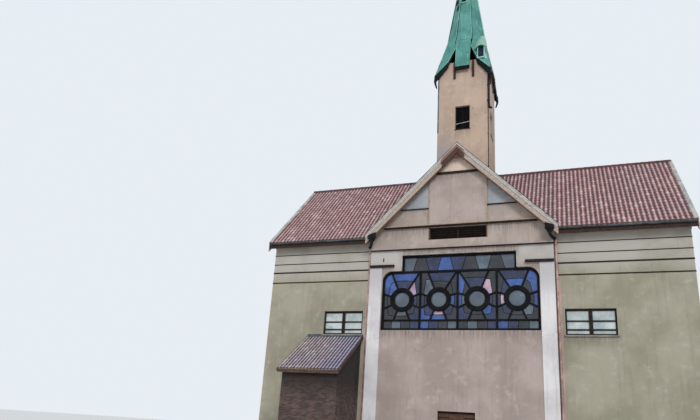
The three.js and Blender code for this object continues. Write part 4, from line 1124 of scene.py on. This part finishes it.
def plain_trim(name, axis, sign, eave, verge, wall, ridge, stops):
    """The same boards along another gable. They stay behind the board's face, the outermost of the church."""
    flashing, rust, soffit = builders(3)
    outer = verge + 0.05
    whole = (0, eave + 0.02)
    for way in (-1, 1):
        rake(flashing, way, whole, (0.09, FASCIA_TOP), (verge - 0.14, outer), ridge, axis)
        rake(flashing, way, whole, (0.0, 0.09), (outer - 0.03, outer), ridge, axis)
        rake(rust, way, stops, (BARGE_LOW - 0.035, BARGE_LOW), (verge - 0.01, outer - 0.006), ridge, axis,
             way + 5)
        for i in range(int((verge - wall) / SOFFIT_BOARD)):
            start = wall + 0.004 + SOFFIT_BOARD * i
            depths = (start, start + SOFFIT_BOARD - 0.006)
            rake(soffit, way, (0, 2.4, eave - 0.02), SOFFIT_HEIGHTS, depths, ridge, axis, i)
    if sign < 0:
        for builder in (flashing, rust, soffit):
            builder.flipped(axis)
    flashing.piece(f"{name}_verge_flashing", FLASHING, "dark_metal")
    rust.piece(f"{name}_barge_edge", RUSTY_EDGE, "board_paint", 0.004)
    soffit.piece(f"{name}_soffit_boards", SOFFIT, "board_paint", 0.003)


# What is on the walls

PILASTER_PROUD = 0.04
PILASTER_INNER = 4.02
PILASTER_TOP = 9.95
STRING_Z = 12.22
STRING_PROUD = 0.158
LEDGE_Z = 10.9
PANEL_SILL_Z = 13.145
HEAD_SILL_Z = 15.155
CORNER_STRIP_TOP = 9.28
# The wings' dark courses: their middle heights and half their heights
COURSES = ((9.34, 0.032), (9.93, 0.04), (10.43, 0.022), (10.97, 0.022))
COURSE_PROUD = 0.016
PLINTH_PROUD = 0.03


def pilasters(face, name):
    builder = Builder()
    y = FRONT - PILASTER_PROUD
    builder.box((PILASTER_INNER, y, PLINTH_TOP), (HALF_FACADE + 0.01, FRONT, PILASTER_TOP))
    builder.box((PILASTER_INNER - 0.04, y - 0.03, 0), (HALF_FACADE + 0.03, FRONT, PLINTH_TOP))
    builder.mirrored(0)
    place_all([builder], 1, face)
    builder.piece(f"{name}_pilasters", PIER_RENDER, "render", 0.012)


def front_details():
    """Small pieces on the front gable: edge strips, sills, flashings partly pale as a painted highlight, a vent
    slit, the louvre's jambs and a painted shadow line along the ledge.
    """
    tan, dark, pale, orange, corner = builders(5)

    def on_wall(builder, x0, x1, z0, z1, proud, sunk=0.0, wall=FRONT):
        builder.box((x0, wall - proud, z0), (x1, wall + sunk, z1))

    for side, _ in SIDES:
        bay, step, jamb = side * BAY_HALF, side * WINDOW_STEP, side * LOUVRE_HALF
        on_wall(tan, bay - 0.03, bay + 0.03, STRING_Z, CROSS_RIDGE - 0.33 - BAY_HALF, 0.016, 0.03, BAY_FACE)
        on_wall(dark, side * 1.53, side * 3.12, PANEL_SILL_Z, PANEL_SILL_Z + 0.045, 0.075)
        # Pale flashing at the window's step and head, its paleness partly a painted highlight
        on_wall(pale, step - 0.02, step + 0.02, 9.78, WINDOW_HEAD + 0.02, 0.018)
        on_wall(orange, jamb - 0.03, jamb + 0.03, 11.40, 12.08, 0.02, 0.05)
        on_wall(corner, side * (HALF_FACADE + 0.02), side * (HALF_FACADE + 0.24), PLINTH_TOP + 0.01,
                CORNER_STRIP_TOP, 0.022, 0.0, WING_FRONT)
    on_wall(tan, -4.02, 4.02, STRING_Z - 0.012, STRING_Z + 0.006, STRING_PROUD)
    on_wall(tan, -4.02, 4.02, STRING_Z - 0.055, STRING_Z - 0.01, STRING_PROUD, -0.146)
    on_wall(pale, -2.97, 2.97, WINDOW_HEAD, WINDOW_HEAD + 0.03, 0.02)
    on_wall(dark, -BAY_HALF - 0.04, BAY_HALF * 0.76, HEAD_SILL_Z, HEAD_SILL_Z + 0.015, 0.07, 0.0, BAY_FACE)
    on_wall(dark, -4.0, -3.94, 10.28, 10.48, 0.012, 0.004)
    # A dark strip along the ledge: a painted shadow line
    on_wall(dark, -HALF_FACADE - 0.01, HALF_FACADE + 0.01, LEDGE_Z - 0.025, LEDGE_Z + 0.025, 0.11)
    tan.piece("gable_edge_strips", TAN, "board_paint", 0.004)
    dark.piece("gable_dark_sills_and_shadow_line", DARK_WOOD, "dark_paint", 0.004)
    pale.piece("window_step_flashing_highlight", FLASHING, "dark_metal", 0.003)
    orange.piece("louvre_jambs", RUSTY_EDGE, "board_paint", 0.004)
    corner.piece("wing_corner_strips", PINK_RENDER, "render", 0.006)


def wing_courses():
    """Thin dark bands round the wings."""
    builder = Builder()
    outer = WING_END + COURSE_PROUD
    for z, half in COURSES:
        builder.box((HALF_FACADE + 0.02, WING_FRONT - COURSE_PROUD, z - half), (outer, WING_FRONT, z + half))
        builder.box((WING_END, WING_FRONT, z - half), (outer, 0, z + half))
    builder.box((WING_END, WING_FRONT, 11.36), (WING_END + 0.03, 0, 11.46))
    builder.mirrored(0)
    builder.mirrored(1)
    builder.piece("wing_courses", DARK_WOOD, "dark_paint", 0.004)


def plinths():
    """A low plinth round the walls, left open at the doors and behind the lean-to."""
    builder = Builder()
    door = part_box("front_door_right_leaf")[1][0] + 0.02
    inner, outer, end = PILASTER_INNER - 0.045, HALF_FACADE + 0.2, WING_END + PLINTH_PROUD
    for x0, x1, y in (
        (door, inner, FRONT), (-inner, -door, FRONT), (-inner, inner, -FRONT),
        (outer, end, WING_FRONT), (ANNEX_HIGH[0], -outer, WING_FRONT), (-end, ANNEX_LOW[0], WING_FRONT),
        (outer, end, -WING_FRONT), (-end, -outer, -WING_FRONT),
    ):
        builder.box((x0, y, 0), (x1, y + math.copysign(PLINTH_PROUD, y), PLINTH_TOP))
    for side, _ in SIDES:
        builder.box((side * WING_END, WING_FRONT - PLINTH_PROUD, 0),
                    (side * end, PLINTH_PROUD - WING_FRONT, PLINTH_TOP))
    builder.piece("plinths", PLINTH_RENDER, "render", 0.01)


# Lead work on the roofs

VALLEY_WIDTH = 0.13
VALLEY_LIFT = 0.07
SHEET = 0.012
FLASHING_SHEET = 0.014
FLASHING_TALL = (0, 0, 0.22)


def lead_work():
    """Valley sheets, and the flashings where the turret stands on the roofs."""
    valleys, aprons = builders(2)
    shoulder, back, meet = CROSS_RIDGE - TOWER_HALF, MAIN_RIDGE + TOWER_BACK, -TOWER_HALF - RIDGE_STEP
    for side, _ in SIDES:
        for face, _ in FACES:
            top = (0, face * RIDGE_STEP, CROSS_RIDGE + VALLEY_LIFT)
            foot = (side * CROSS_EAVE, face * (CROSS_EAVE + RIDGE_STEP), CROSS_RIDGE - CROSS_EAVE + VALLEY_LIFT)
            valleys.strip(top, foot, (side * VALLEY_WIDTH, 0, 0), (0, 0, SHEET))
            valleys.strip(top, foot, (0, face * VALLEY_WIDTH, 0), (0, 0, SHEET))
        x, inner = side * TOWER_HALF, side * (-TOWER_BACK - RIDGE_STEP)
        front_out, back_out = (0, -FLASHING_SHEET, 0), (0, FLASHING_SHEET, 0)
        side_out = (side * FLASHING_SHEET, 0, 0)
        for start, end, out in (
            ((0, TOWER_FRONT, CROSS_RIDGE), (x, TOWER_FRONT, shoulder), front_out),
            ((x, TOWER_FRONT - FLASHING_SHEET, shoulder), (x, meet, shoulder), side_out),
            ((x, meet, shoulder), (x, TOWER_BACK, back), side_out),
            ((x, TOWER_BACK, back), (inner, TOWER_BACK, back), back_out),
            ((inner, TOWER_BACK, back), (0, TOWER_BACK, CROSS_RIDGE), back_out),
        ):
            aprons.strip(start, end, FLASHING_TALL, out)
    valleys.piece("valley_sheets", GREY_METAL, "lead")
    aprons.piece("turret_flashings", GREY_METAL, "lead", 0.003)


# Gutters, hoppers and pipes

GUTTER_RADIUS = 0.065
GUTTER_SHEET = 0.008
BRACKET_SPACING = 0.8
HOPPER_FOOT = 11.34
PIPE_CLIPS = (0.12, 1.9, 3.7, 5.5, 7.3, 9.1, 10.85)


def gutter(side, side_name, face, face_name):
    """A half-round gutter with rolled lips and brackets, and the board behind it."""
    name = f"{side_name}_wing_{face_name}"
    z = MAIN_RIDGE - MAIN_EAVE - 0.06
    y = face * (MAIN_EAVE + GUTTER_RADIUS + 0.012)
    ends = side * (CROSS_EAVE + 0.06), side * (WING_VERGE - 0.03)
    trough, board = builders(2)

    def half_round(x, radius):
        return [(x, y - side * math.cos(a) * radius, z - math.sin(a) * radius)
                for a in np.linspace(0, math.pi, 9)]

    trough.loft([half_round(x, GUTTER_RADIUS) + half_round(x, GUTTER_RADIUS - GUTTER_SHEET)[::-1]
                 for x in ends])
    for lip in (y - GUTTER_RADIUS, y + GUTTER_RADIUS):
        trough.tube([(x, lip, z) for x in ends], 0.009, 6)
    length = ends[1] - ends[0]
    count = round(abs(length) / BRACKET_SPACING)
    for i in range(count):
        trough.tube(half_round(ends[0] + length * (i + 0.5) / count, GUTTER_RADIUS + 0.006), 0.007, 5)
    board.box((side * (CROSS_EAVE + 0.03), face * (MAIN_EAVE - 0.002), z - 0.28),
              (side * WING_VERGE, face * (MAIN_EAVE + 0.022), z + 0.05))
    board.piece(f"{name}_eave_board", BROWN_WOOD, "dark_paint", 0.004)
    trough.piece(f"{name}_gutter", GREY_METAL, "dark_metal", smooth=SMOOTH)


def hoppers():
    """The dark boxed feet of the front gable, their darkness partly painted shade under the eave, with the swan
    necks that lead to the downpipes.
    """
    hopper, neck = builders(2)
    foot = HOPPER_FOOT
    x0, x1, y0, y1 = 4.36, 4.78, VERGE - 0.17, VERGE - 0.03

    def ring(inset, front, z_inner, z_outer):
        return [(x0 + inset, front, z_inner), (x1 - inset, front, z_outer), (x1 - inset, y1, z_outer),
                (x0 + inset, y1, z_inner)]

    hopper.loft([ring(0, y0, foot + 0.5, foot + 0.34), ring(0, y0, foot + 0.2, foot + 0.2),
                 ring(0.10, y0 + 0.05, foot, foot)])
    hopper.box((x0 - 0.02, y0 - 0.02, foot + 0.17), (x1 + 0.02, y1, foot + 0.22))
    pipe_low, pipe_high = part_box("right_downpipe")
    x, y = (pipe_low[0] + pipe_high[0]) / 2, pipe_low[1] + 0.06
    throat = [(4.57, VERGE - 0.08, foot + 0.02), (4.57, VERGE - 0.06, foot - 0.10), (4.66, -5.45, foot - 0.20)]
    hopper.tube(throat + [(x, -5.24, foot - 0.24)], [0.09, 0.078, 0.074, 0.07], 12)
    bend = [(x, -5.22, foot - 0.24), (x, y - 0.03, foot - 0.22), (x, y, foot - 0.36), (x, y, 10.9)]
    neck.tube(throat + bend, 0.058, 12)
    for z in PIPE_CLIPS:
        neck.tube([(x, y, z), (x, y, z + 0.06)], 0.073, 14)
    hopper.mirrored(0)
    neck.mirrored(0)
    hopper.piece("gable_hoppers", DARK_METAL, "dark_metal", 0.01)
    neck.piece("downpipe_necks", PIPE, "pipe_metal", smooth=ROUND_ANGLE)


# Turret

SHUTTER_FACE = TOWER_FRONT + 0.15
SHUTTER_FRAME = 0.07
SLATS = 11
TOWER_TOP = 22.88
BRACKETS = (-0.47, 0.62)


def shutter(builder):
    """Slats and a frame in a belfry opening, some way behind the wall's face, near black as painted shade of
    the dark opening.
    """
    half, bar, front = BELFRY_HALF, SHUTTER_FRAME, SHUTTER_FACE
    for x0, x1 in ((-half, bar - half), (half - bar, half), (-0.025, 0.025)):
        builder.box((x0, front, BELFRY_SILL), (x1, front + bar, BELFRY_HEAD))
    for z in (BELFRY_SILL, BELFRY_HEAD - bar):
        builder.box((-half, front, z), (half, front + bar, z + bar))
    for i in range(SLATS):
        z = BELFRY_SILL + 0.13 + i * 0.125
        builder.bar((0.04 - half, front + 0.06, z), (half - 0.04, front + 0.06, z), 0.13, 0.014,
                    (0, -0.62, 0.78), 0.3 + 0.04 * (i % 3))
    # A dark plate behind the slats: painted shade for the chamber inside
    builder.box((-half, front + 0.11, BELFRY_SILL), (half, front + 0.125, BELFRY_HEAD))


def tower_details():
    """Shutters, sills and brackets on all four sides, and a rail, a conductor and a strip on the front. The
    sills are dark as a painted shadow line under each opening.
    """
    for quarters, name in enumerate(("front", "right", "rear", "left")):
        slats, sill_shade, posts = builders(3)
        shutter(slats)
        # A dark sill: a painted shadow line along the opening's foot
        sill_shade.box((-BELFRY_HALF - 0.03, TOWER_FRONT - 0.03, BELFRY_SILL - 0.04),
                 (BELFRY_HALF + 0.03, SHUTTER_FACE, BELFRY_SILL))
        for x in BRACKETS:
            posts.box((x - 0.06, TOWER_FRONT - 0.075, 21.75), (x + 0.06, TOWER_FRONT, TOWER_TOP))
            posts.bar((x, TOWER_FRONT - 0.02, 21.86), (x, TOWER_FRONT - 0.16, 22.5), 0.09, 0.06, (1, 0, 0))
        slats.turned(quarters).piece(f"belfry_{name}_shutters", SHUTTER_SHADE, "dark_paint", 0.004)
        sill_shade.turned(quarters).piece(f"belfry_{name}_sill", BROWN_WOOD, "dark_paint", 0.006)
        posts.turned(quarters).piece(f"spire_{name}_brackets", BROWN_WOOD, "dark_paint", 0.006)
    rail, pipe, edge = builders(3)
    y = TOWER_FRONT + 0.12
    rail.bar((0.02 - BELFRY_HALF, y, 18.80), (BELFRY_HALF - 0.02, y, 18.90), 0.036, 0.035, (0, 0, 1))
    x, y = TOWER_HALF + 0.06, TOWER_FRONT - 0.06
    pipe.tube([(x, y, 22.3), (x, y, 21.2), (x, y, 19.75), (x + 0.05, y - 0.05, 19.5),
               (x + 0.16, y - 0.14, 19.42)], 0.062, 14)
    for z in (20.0, 21.0, 22.0):
        pipe.tube([(x, y, z), (x, y, z + 0.05)], 0.076, 14)
        pipe.box((x - 0.09, y - 0.01, z + 0.01), (x, y + 0.09, z + 0.04))
    x, y = TOWER_HALF + 0.018, TOWER_FRONT - 0.018
    pipe.tube([(x, y, 19.8), (x, y, 17.6), (x, y, 15.2)], 0.018, 8)
    for z in (15.9, 16.9, 17.9, 18.9):
        pipe.box((x - 0.035, y - 0.02, z), (x + 0.02, y + 0.035, z + 0.04))
    edge.box((-TOWER_HALF - 0.012, TOWER_FRONT - 0.012, 18.3),
             (-TOWER_HALF + 0.06, TOWER_FRONT + 0.05, TOWER_TOP))
    rail.piece("belfry_rail", PALE_RAIL, "board_paint", 0.006)
    pipe.piece("tower_conductor", GREEN_METAL, "pipe_metal", smooth=ROUND_ANGLE)
    edge.piece("tower_edge_strip", GREY_METAL, "dark_metal", 0.004)


# Spire

BROACH_TOP_Z = 25.9
NOTCH_Z = 24.0
TONGUE_HALF = 0.42
TONGUE_TOP_Z = 24.66
TONGUE_FOOT_REACH = 1.64
TONGUE_FOOT_Z = 22.5
TONGUE_DROP = 0.25
RIM_DROPS = (0.12, 0.36, 0.50, 0.36, 0.12)
RIM_THICKNESS = 0.045
LINING_APOTHEM = 0.98
LINING_HEIGHTS = (22.86, 24.55)
PLATE_BACK = -0.02
EIGHTH = math.pi / 4
HALF_SIDE = math.tan(EIGHTH / 2)
LUCARNE_X = 1.08
LUCARNE_HALF = 0.21
LUCARNE_SILL = 22.92
LUCARNE_HEAD = 23.64
LUCARNE_CREST = 24.84
LUCARNE_ANGLE = 40
PATCH_FOOT = 22.86


def spire_apothem(z):
    return SPIRE_APOTHEM * (SPIRE_TIP - z) / (SPIRE_TIP - SPIRE_FOLD)


# The front right petal's top, its notch and its tip, from the turret's axis
PETAL_REACH = spire_apothem(BROACH_TOP_Z) * SLOPE
PETAL_TOP = Vector((PETAL_REACH, -PETAL_REACH, BROACH_TOP_Z))
PETAL_NOTCH = Vector((0.46, -spire_apothem(NOTCH_Z) - 0.06, NOTCH_Z))
PETAL_TIP = Vector((1.6, -1.6, 22.12))
PETAL_NORMAL = (PETAL_NOTCH - PETAL_TOP).cross(PETAL_TIP - PETAL_TOP)


def petal_y(x, z):
    """Where the petal's front face is, from the turret's axis."""
    fall = PETAL_NORMAL.x * (x - PETAL_TOP.x) + PETAL_NORMAL.z * (z - PETAL_TOP.z)
    return PETAL_TOP.y - fall / PETAL_NORMAL.y


PETAL_MIDDLE = Vector((0.88, petal_y(0.88, 22.95), 22.95))


def petal_arris(z):
    """The petal's outer edge at a height."""
    return PETAL_TOP.lerp(PETAL_TIP, (PETAL_TOP.z - z) / (PETAL_TOP.z - PETAL_TIP.z))


def across_diagonal(point):
    return Vector((-point.y, -point.x, point.z))


def on_corner(eighths, apothem, z, proud=0.0, aside=0.0):
    """A point on a corner of the octagon."""
    angle = EIGHTH * (eighths + 0.5)
    out = apothem / math.cos(EIGHTH / 2) + proud
    east, north = math.cos(angle), math.sin(angle)
    return (out * east - aside * north, TOWER_Y + out * north + aside * east, z)


def on_face(turns, u, z, proud):
    """A point on a face of the octagon, turned in eighths from the front, u along it and proud before it."""
    angle = EIGHTH * turns
    out = spire_apothem(z) + proud
    east, north = math.cos(angle), math.sin(angle)
    return (u * east + out * north, TOWER_Y + u * north - out * east, z)


def spire_seams():
    """Standing seams on corners and faces with a painted highlight, laps across the faces, and painted shadow
    lines beside the corners.
    """
    seams, laps, shadows = builders(3)
    heights = np.linspace(TONGUE_TOP_Z, SPIRE_TIP - 0.25, 14)
    for k in range(8):
        seams.tube([on_corner(k, spire_apothem(z), z, 0.006) for z in heights], 0.024, 8)
        shadows.tube([on_corner(k, spire_apothem(z), z, -0.004, 0.045) for z in heights], 0.013, 6)
        z, step = 25.35 + 0.37 * (k % 2), 0
        while z < SPIRE_TIP - 0.8:
            half = spire_apothem(z) * HALF_SIDE
            if z > BROACH_TOP_Z or k % 2 == 0:
                laps.bar(on_face(k + 2, -half, z, 0.004), on_face(k + 2, half, z, 0.004), 0.028, 0.010,
                         (0, 0, 1))
            z += 0.78 - 0.03 * (step % 3)
            step += 1
        low = BROACH_TOP_Z + 0.15 if k % 2 else 24.75
        for share in (-0.38, 0.38):
            seams.tube([on_face(k + 2, share * spire_apothem(z) * HALF_SIDE, z, 0.008)
                        for z in np.linspace(low, 30.6, 10)], 0.010, 5)
    seams.piece("spire_seams", COPPER_HIGHLIGHT, "copper", smooth=SMOOTH)
    laps.piece("spire_laps", COPPER, "copper", 0.003)
    shadows.piece("spire_seam_shadows", SHADE_COPPER, "copper", smooth=SMOOTH)


def hanging_rim(rim, bead, path, drops):
    """A strip of painted shade that hangs below an edge of the sheet, with a bead of painted highlight along
    the edge.
    """
    for a, b, drop_a, drop_b in zip(path, path[1:], drops, drops[1:]):
        ring = [a, b, b - Vector((0, 0, drop_b)), a - Vector((0, 0, drop_a))]
        inward = Vector((-a.x - b.x, -a.y - b.y, 0)).normalized() * RIM_THICKNESS
        rim.loft([ring, [point + inward for point in ring]])
    bead.tube(path, 0.022, 8)


def spire_skirt():
    """Rims of painted shade and beads of painted highlight along the petals and the tongues, built for one
    side, and a lining of painted shade behind them.
    """
    rim, bead, rims, beads, lining = builders(5)
    reach = spire_apothem(TONGUE_TOP_Z) + 0.02
    tongue = [Vector(point) for point in (
        (-TONGUE_HALF, -reach, TONGUE_TOP_Z), (-TONGUE_HALF, -TONGUE_FOOT_REACH, TONGUE_FOOT_Z),
        (TONGUE_HALF, -TONGUE_FOOT_REACH, TONGUE_FOOT_Z), (TONGUE_HALF, -reach, TONGUE_TOP_Z),
    )]
    petal = [PETAL_NOTCH, PETAL_MIDDLE, PETAL_TIP, across_diagonal(PETAL_MIDDLE), across_diagonal(PETAL_NOTCH)]
    hanging_rim(rim, bead, petal, RIM_DROPS)
    hanging_rim(rim, bead, tongue[1:3], (TONGUE_DROP, TONGUE_DROP))
    # The bend where the petal leaves the octagon shows as a painted highlight line.
    edge = PETAL_TOP.lerp(PETAL_NOTCH, (BROACH_TOP_Z - SPIRE_FOLD) / (BROACH_TOP_Z - NOTCH_Z))
    proud = Vector((0.006, -0.006, 0))
    bead.tube([edge + proud, petal_arris(SPIRE_FOLD) + proud, across_diagonal(edge) + proud], 0.02, 6)
    bead.tube([tongue[0], tongue[3]], 0.02, 6)
    bead.tube(tongue, 0.02, 8)
    bead.tube([PETAL_TOP, PETAL_TIP], 0.024, 8)
    foot = PETAL_TIP.z - RIM_DROPS[2]
    curl = ((0, PETAL_TIP.z - 0.05, 0.06), (0.01, foot + 0.05, 0.075), (-0.01, foot - 0.10, 0.06),
            (-0.06, foot - 0.32, 0.045), (-0.09, foot - 0.40, 0.015))
    rim.tube([(PETAL_TIP.x + out, PETAL_TIP.y - out, z) for out, z, _ in curl],
             [size for _, _, size in curl], 8)
    for source, target in ((rim, rims), (bead, beads)):
        source.points[:, 1] += TOWER_Y
        for _ in range(4):
            target.put(source.points, source.faces)
            source.turned()
    lining.loft([[on_corner(k, LINING_APOTHEM, z) for k in range(8)] for z in LINING_HEIGHTS])
    rims.piece("spire_shade_rims", SHADE_COPPER, "copper", 0.004)
    beads.piece("spire_highlight_beads", COPPER_HIGHLIGHT, "copper", smooth=SMOOTH)
    lining.piece("spire_shade_lining", SHADE_COPPER, "copper")


def lucarne():
    """A small dormer on the front right petal: a pale hood and cheeks about a recess that holds a dark box of
    painted shade.
    """
    recess, hood = builders(2)
    x0, x1 = LUCARNE_X - LUCARNE_HALF, LUCARNE_X + LUCARNE_HALF
    low, high, crest = LUCARNE_SILL, LUCARNE_HEAD, LUCARNE_CREST
    face = TOWER_Y + petal_y(LUCARNE_X, low) - 0.06
    back = TOWER_Y + petal_y(LUCARNE_X, high) + 0.3
    recess.box((x0 + 0.02, face + 0.05, low + 0.01), (x1 - 0.02, back, high + 0.02))
    for a, b in ((x0, x0 + 0.045), (x1 - 0.045, x1)):
        hood.box((a, face, low), (b, back, high + 0.05))
    hood.box((x0 - 0.02, face - 0.03, low - 0.04), (x1 + 0.02, back, low + 0.025))
    top_y = TOWER_Y + petal_y(LUCARNE_X, crest) - 0.012
    outer = []
    for share in (0.0, 0.15, 0.4, 0.7, 1.0):
        y = top_y + (face - 0.11 - top_y) * share ** 1.1
        z = crest + (high + 0.09 - crest) * share
        half = 0.10 + 0.27 * share ** 0.6
        outer += [(LUCARNE_X + half * u, y + 0.10 * u * u * share, z - 0.16 * share * abs(u) ** 1.8)
                  for u in np.linspace(-1, 1, 9)]
    count = len(outer)
    faces = quads(5, 9, ring=False) + [quad[::-1] for quad in quads(5, 9, ring=False, first=count)]
    edge = [*range(9), *range(17, count, 9), *range(count - 2, count - 10, -1), *range(count - 18, 0, -9)]
    faces += [(a, b, b + count, a + count) for a, b in zip(edge, edge[1:] + edge[:1])]
    hood.put(outer + [(x, y + 0.02, z - 0.03) for x, y, z in outer], faces)
    patch = [(x1 + 0.01, high), (x1 + 0.01, PATCH_FOOT), (petal_arris(PATCH_FOOT).x - 0.02, PATCH_FOOT),
             (petal_arris(high).x - 0.01, high)]
    hood.loft([[(x, TOWER_Y + petal_y(x, z) + depth, z) for x, z in patch] for depth in (-0.012, 0.008)])
    recess.piece("lucarne_recess_shade", RECESS_SHADE, "copper")
    hood.piece("lucarne_hood", PALE_COPPER, "copper", smooth=LUCARNE_ANGLE)


def spire_vents():
    """A small vent at the photograph's upper edge, on the front face, with a plate of painted shade for its
    opening, and two plates of painted shade beside it.
    """
    dark, pale = builders(2)
    for builder, turns, u0, u1, z0, z1, proud in (
        (dark, 0, -0.22, 0.06, 27.76, 28.12, 0.024),
        (pale, 0, -0.27, 0.11, 27.68, 27.76, 0.05),
        (pale, 0, -0.26, 0.10, 28.12, 28.16, 0.06),
        (pale, 0, -0.25, -0.22, 27.76, 28.12, 0.035),
        (pale, 0, 0.06, 0.09, 27.76, 28.12, 0.035),
        (dark, -1, 0.02, 0.23, 27.24, 27.64, 0.018),
        (dark, -1, -0.18, 0.08, 27.84, 28.24, 0.018),
    ):
        outline = ((u0, z0), (u1, z0), (u1, z1), (u0, z1))
        builder.loft([[on_face(turns, u, z, p) for u, z in outline] for p in (PLATE_BACK, proud)])
    dark.piece("spire_vent_shade_plates", SHADE_COPPER, "copper")
    pale.piece("spire_vent_frame", COPPER_HIGHLIGHT, "copper", 0.004)


# Doors

PLANKS = 7
DOOR_GAP = 0.03
HANDLE_X = 0.09
HANDLE_Z = 1.14


def doors():
    """Planks, battens and ironwork on both leaves of the entrance, and a frame about them."""
    low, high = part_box("front_door_left_leaf")
    top, face = high[2], low[1]
    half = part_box("front_door_right_leaf")[1][0]
    width = (half - 2 * DOOR_GAP) / PLANKS
    planks, wood, iron = builders(3)
    draw = random.Random(5)
    for side, _ in SIDES:
        for i in range(PLANKS):
            x0 = DOOR_GAP + i * width
            planks.box((side * x0, face - 0.016 - draw.uniform(0, 0.003), 0.06),
                       (side * (x0 + width - 0.006), face, top - 0.09), draw.random())
        hinge, handle = side * (half - 0.012), side * HANDLE_X
        for z in (0.28, 1.32, top - 0.36):
            planks.box((side * DOOR_GAP, face - 0.036, z), (side * (half - 0.04), face - 0.016, z + 0.14),
                       draw.random())
            iron.box((side * 0.34, face - 0.044, z + 0.045), (side * (half - 0.01), face - 0.034, z + 0.095))
            iron.tube([(hinge, face - 0.04, z - 0.01), (hinge, face - 0.04, z + 0.15)], 0.016, 10)
            for k in range(4):
                x = side * (0.42 + 0.12 * k)
                iron.tube([(x, face - 0.05, z + 0.07), (x, face - 0.042, z + 0.07)], [0.010, 0.014], 8)
        iron.box((handle - 0.03, face - 0.026, 1.02), (handle + 0.03, face - 0.016, 1.24))
        iron.tube([(handle, face - 0.02, HANDLE_Z), (handle, face - 0.075, HANDLE_Z),
                   (side * 0.13, face - 0.085, HANDLE_Z), (side * 0.22, face - 0.085, HANDLE_Z - 0.005)],
                  0.011, 8)
        wood.box((side * (half - 0.01), face - 0.06, 0), (side * half, face + 0.05, top))
        wood.box((side * (half - 0.045), face - 0.07, 0), (side * half, face - 0.002, top))
    wood.box((-half, face - 0.07, top - 0.08), (half, face - 0.002, top))
    planks.piece("door_planks", DOOR_WOOD, "door_wood", 0.004)
    wood.piece("door_frame", DARK_WOOD, "dark_paint", 0.005)
    iron.piece("door_ironwork", DARK_METAL, "dark_metal", 0.002)


def make_stage():
    size = 400
    data = bpy.data.meshes.new("stage_floor")
    corners = [(size * u, size * v, 0) for u, v in SQUARE]
    data.from_pydata(corners, [], [(0, 1, 2, 3)])
    data.materials.append(floor_paper())
    floor = add_object("stage_floor", data)
    floor.location.z = -0.002


WINGS = ("left_wing", "right_wing")
ENDS = ("front", "rear")
WING_WALLS = ("front_wall_lower", "front_wall_upper", "rear_wall_lower", "rear_wall_upper", "end_wall")
FINISHES = (
    (RENDER, ["front_wall_lower_left", "front_wall_lower_right", "front_door_lintel_wall", "rear_wall_lower",
              "rear_gable_wall", "front_string_course", "gable_bay"]),
    (UPPER_RENDER, ["front_gable_wall"]),
    (WING_RENDER, [f"{wing}_{wall}" for wing in WINGS for wall in WING_WALLS]),
    (PANEL_GREY, ["gable_left_panel", "gable_right_panel"]),
    (PANEL_RENDER, ["gable_bay_head"]),
    (TOWER_RENDER, [f"tower_{wall}_wall" for wall in ("front", "rear", "left", "right")]),
    (DARK_WOOD, ["gable_ledge", "left_pier_cap", "right_pier_cap", "gable_bay_string", "gable_louvre"]),
    (BOARD, [f"{gable}_barge_board" for gable in ENDS + WINGS]),
    (BROWN_FASCIA, ["annex_fascia"]),
    (SOFFIT, ["front_gable_roof", "rear_gable_roof", "left_wing_roof", "right_wing_roof", "annex_roof"]),
    (CONCRETE, ["floor_slab", "annex_floor"]),
    (MORTAR, [f"annex_{wall}_wall" for wall in ("front", "left", "right")]),
    (DOOR_WOOD, ["front_door_left_leaf", "front_door_right_leaf"]),
    (PIPE, ["left_downpipe", "right_downpipe"]),
    (PANES["blue"], [f"{end}_window_glass" for end in ENDS]),
    (LEAD, [f"{end}_window_tracery" for end in ENDS]),
    (PANES["pale"], [f"{wing}_{end}_window" for wing in WINGS for end in ENDS]),
    (COPPER, ["spire"]),
    (DARK_METAL, ["spire_cross"]),
)
for finish, nodes in FINISHES:
    for node in nodes:
        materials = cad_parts[node].data.materials
        materials.clear()
        materials.append(finish)

for face_sign, end in FACES:
    big_window(face_sign, end)
    pilasters(face_sign, end)
    for side_sign, side_word in SIDES:
        roof_tiles(side_sign, side_word, face_sign, end)
        wing_window(side_sign, side_word, face_sign, end)
        gutter(side_sign, side_word, face_sign, end)
all_ridges()
annex_bricks()
annex_roof()
front_trim()
plain_trim("rear", 1, 1, CROSS_EAVE, -VERGE, -FRONT, CROSS_RIDGE, GABLE_STOPS)
for side_sign, side_word in SIDES:
    plain_trim(f"{side_word}_wing", 0, side_sign, MAIN_EAVE, WING_VERGE, WING_END, MAIN_RIDGE, WING_STOPS)
front_details()
wing_courses()
plinths()
lead_work()
hoppers()
tower_details()
spire_seams()
spire_skirt()
lucarne()
spire_vents()
doors()
make_stage()
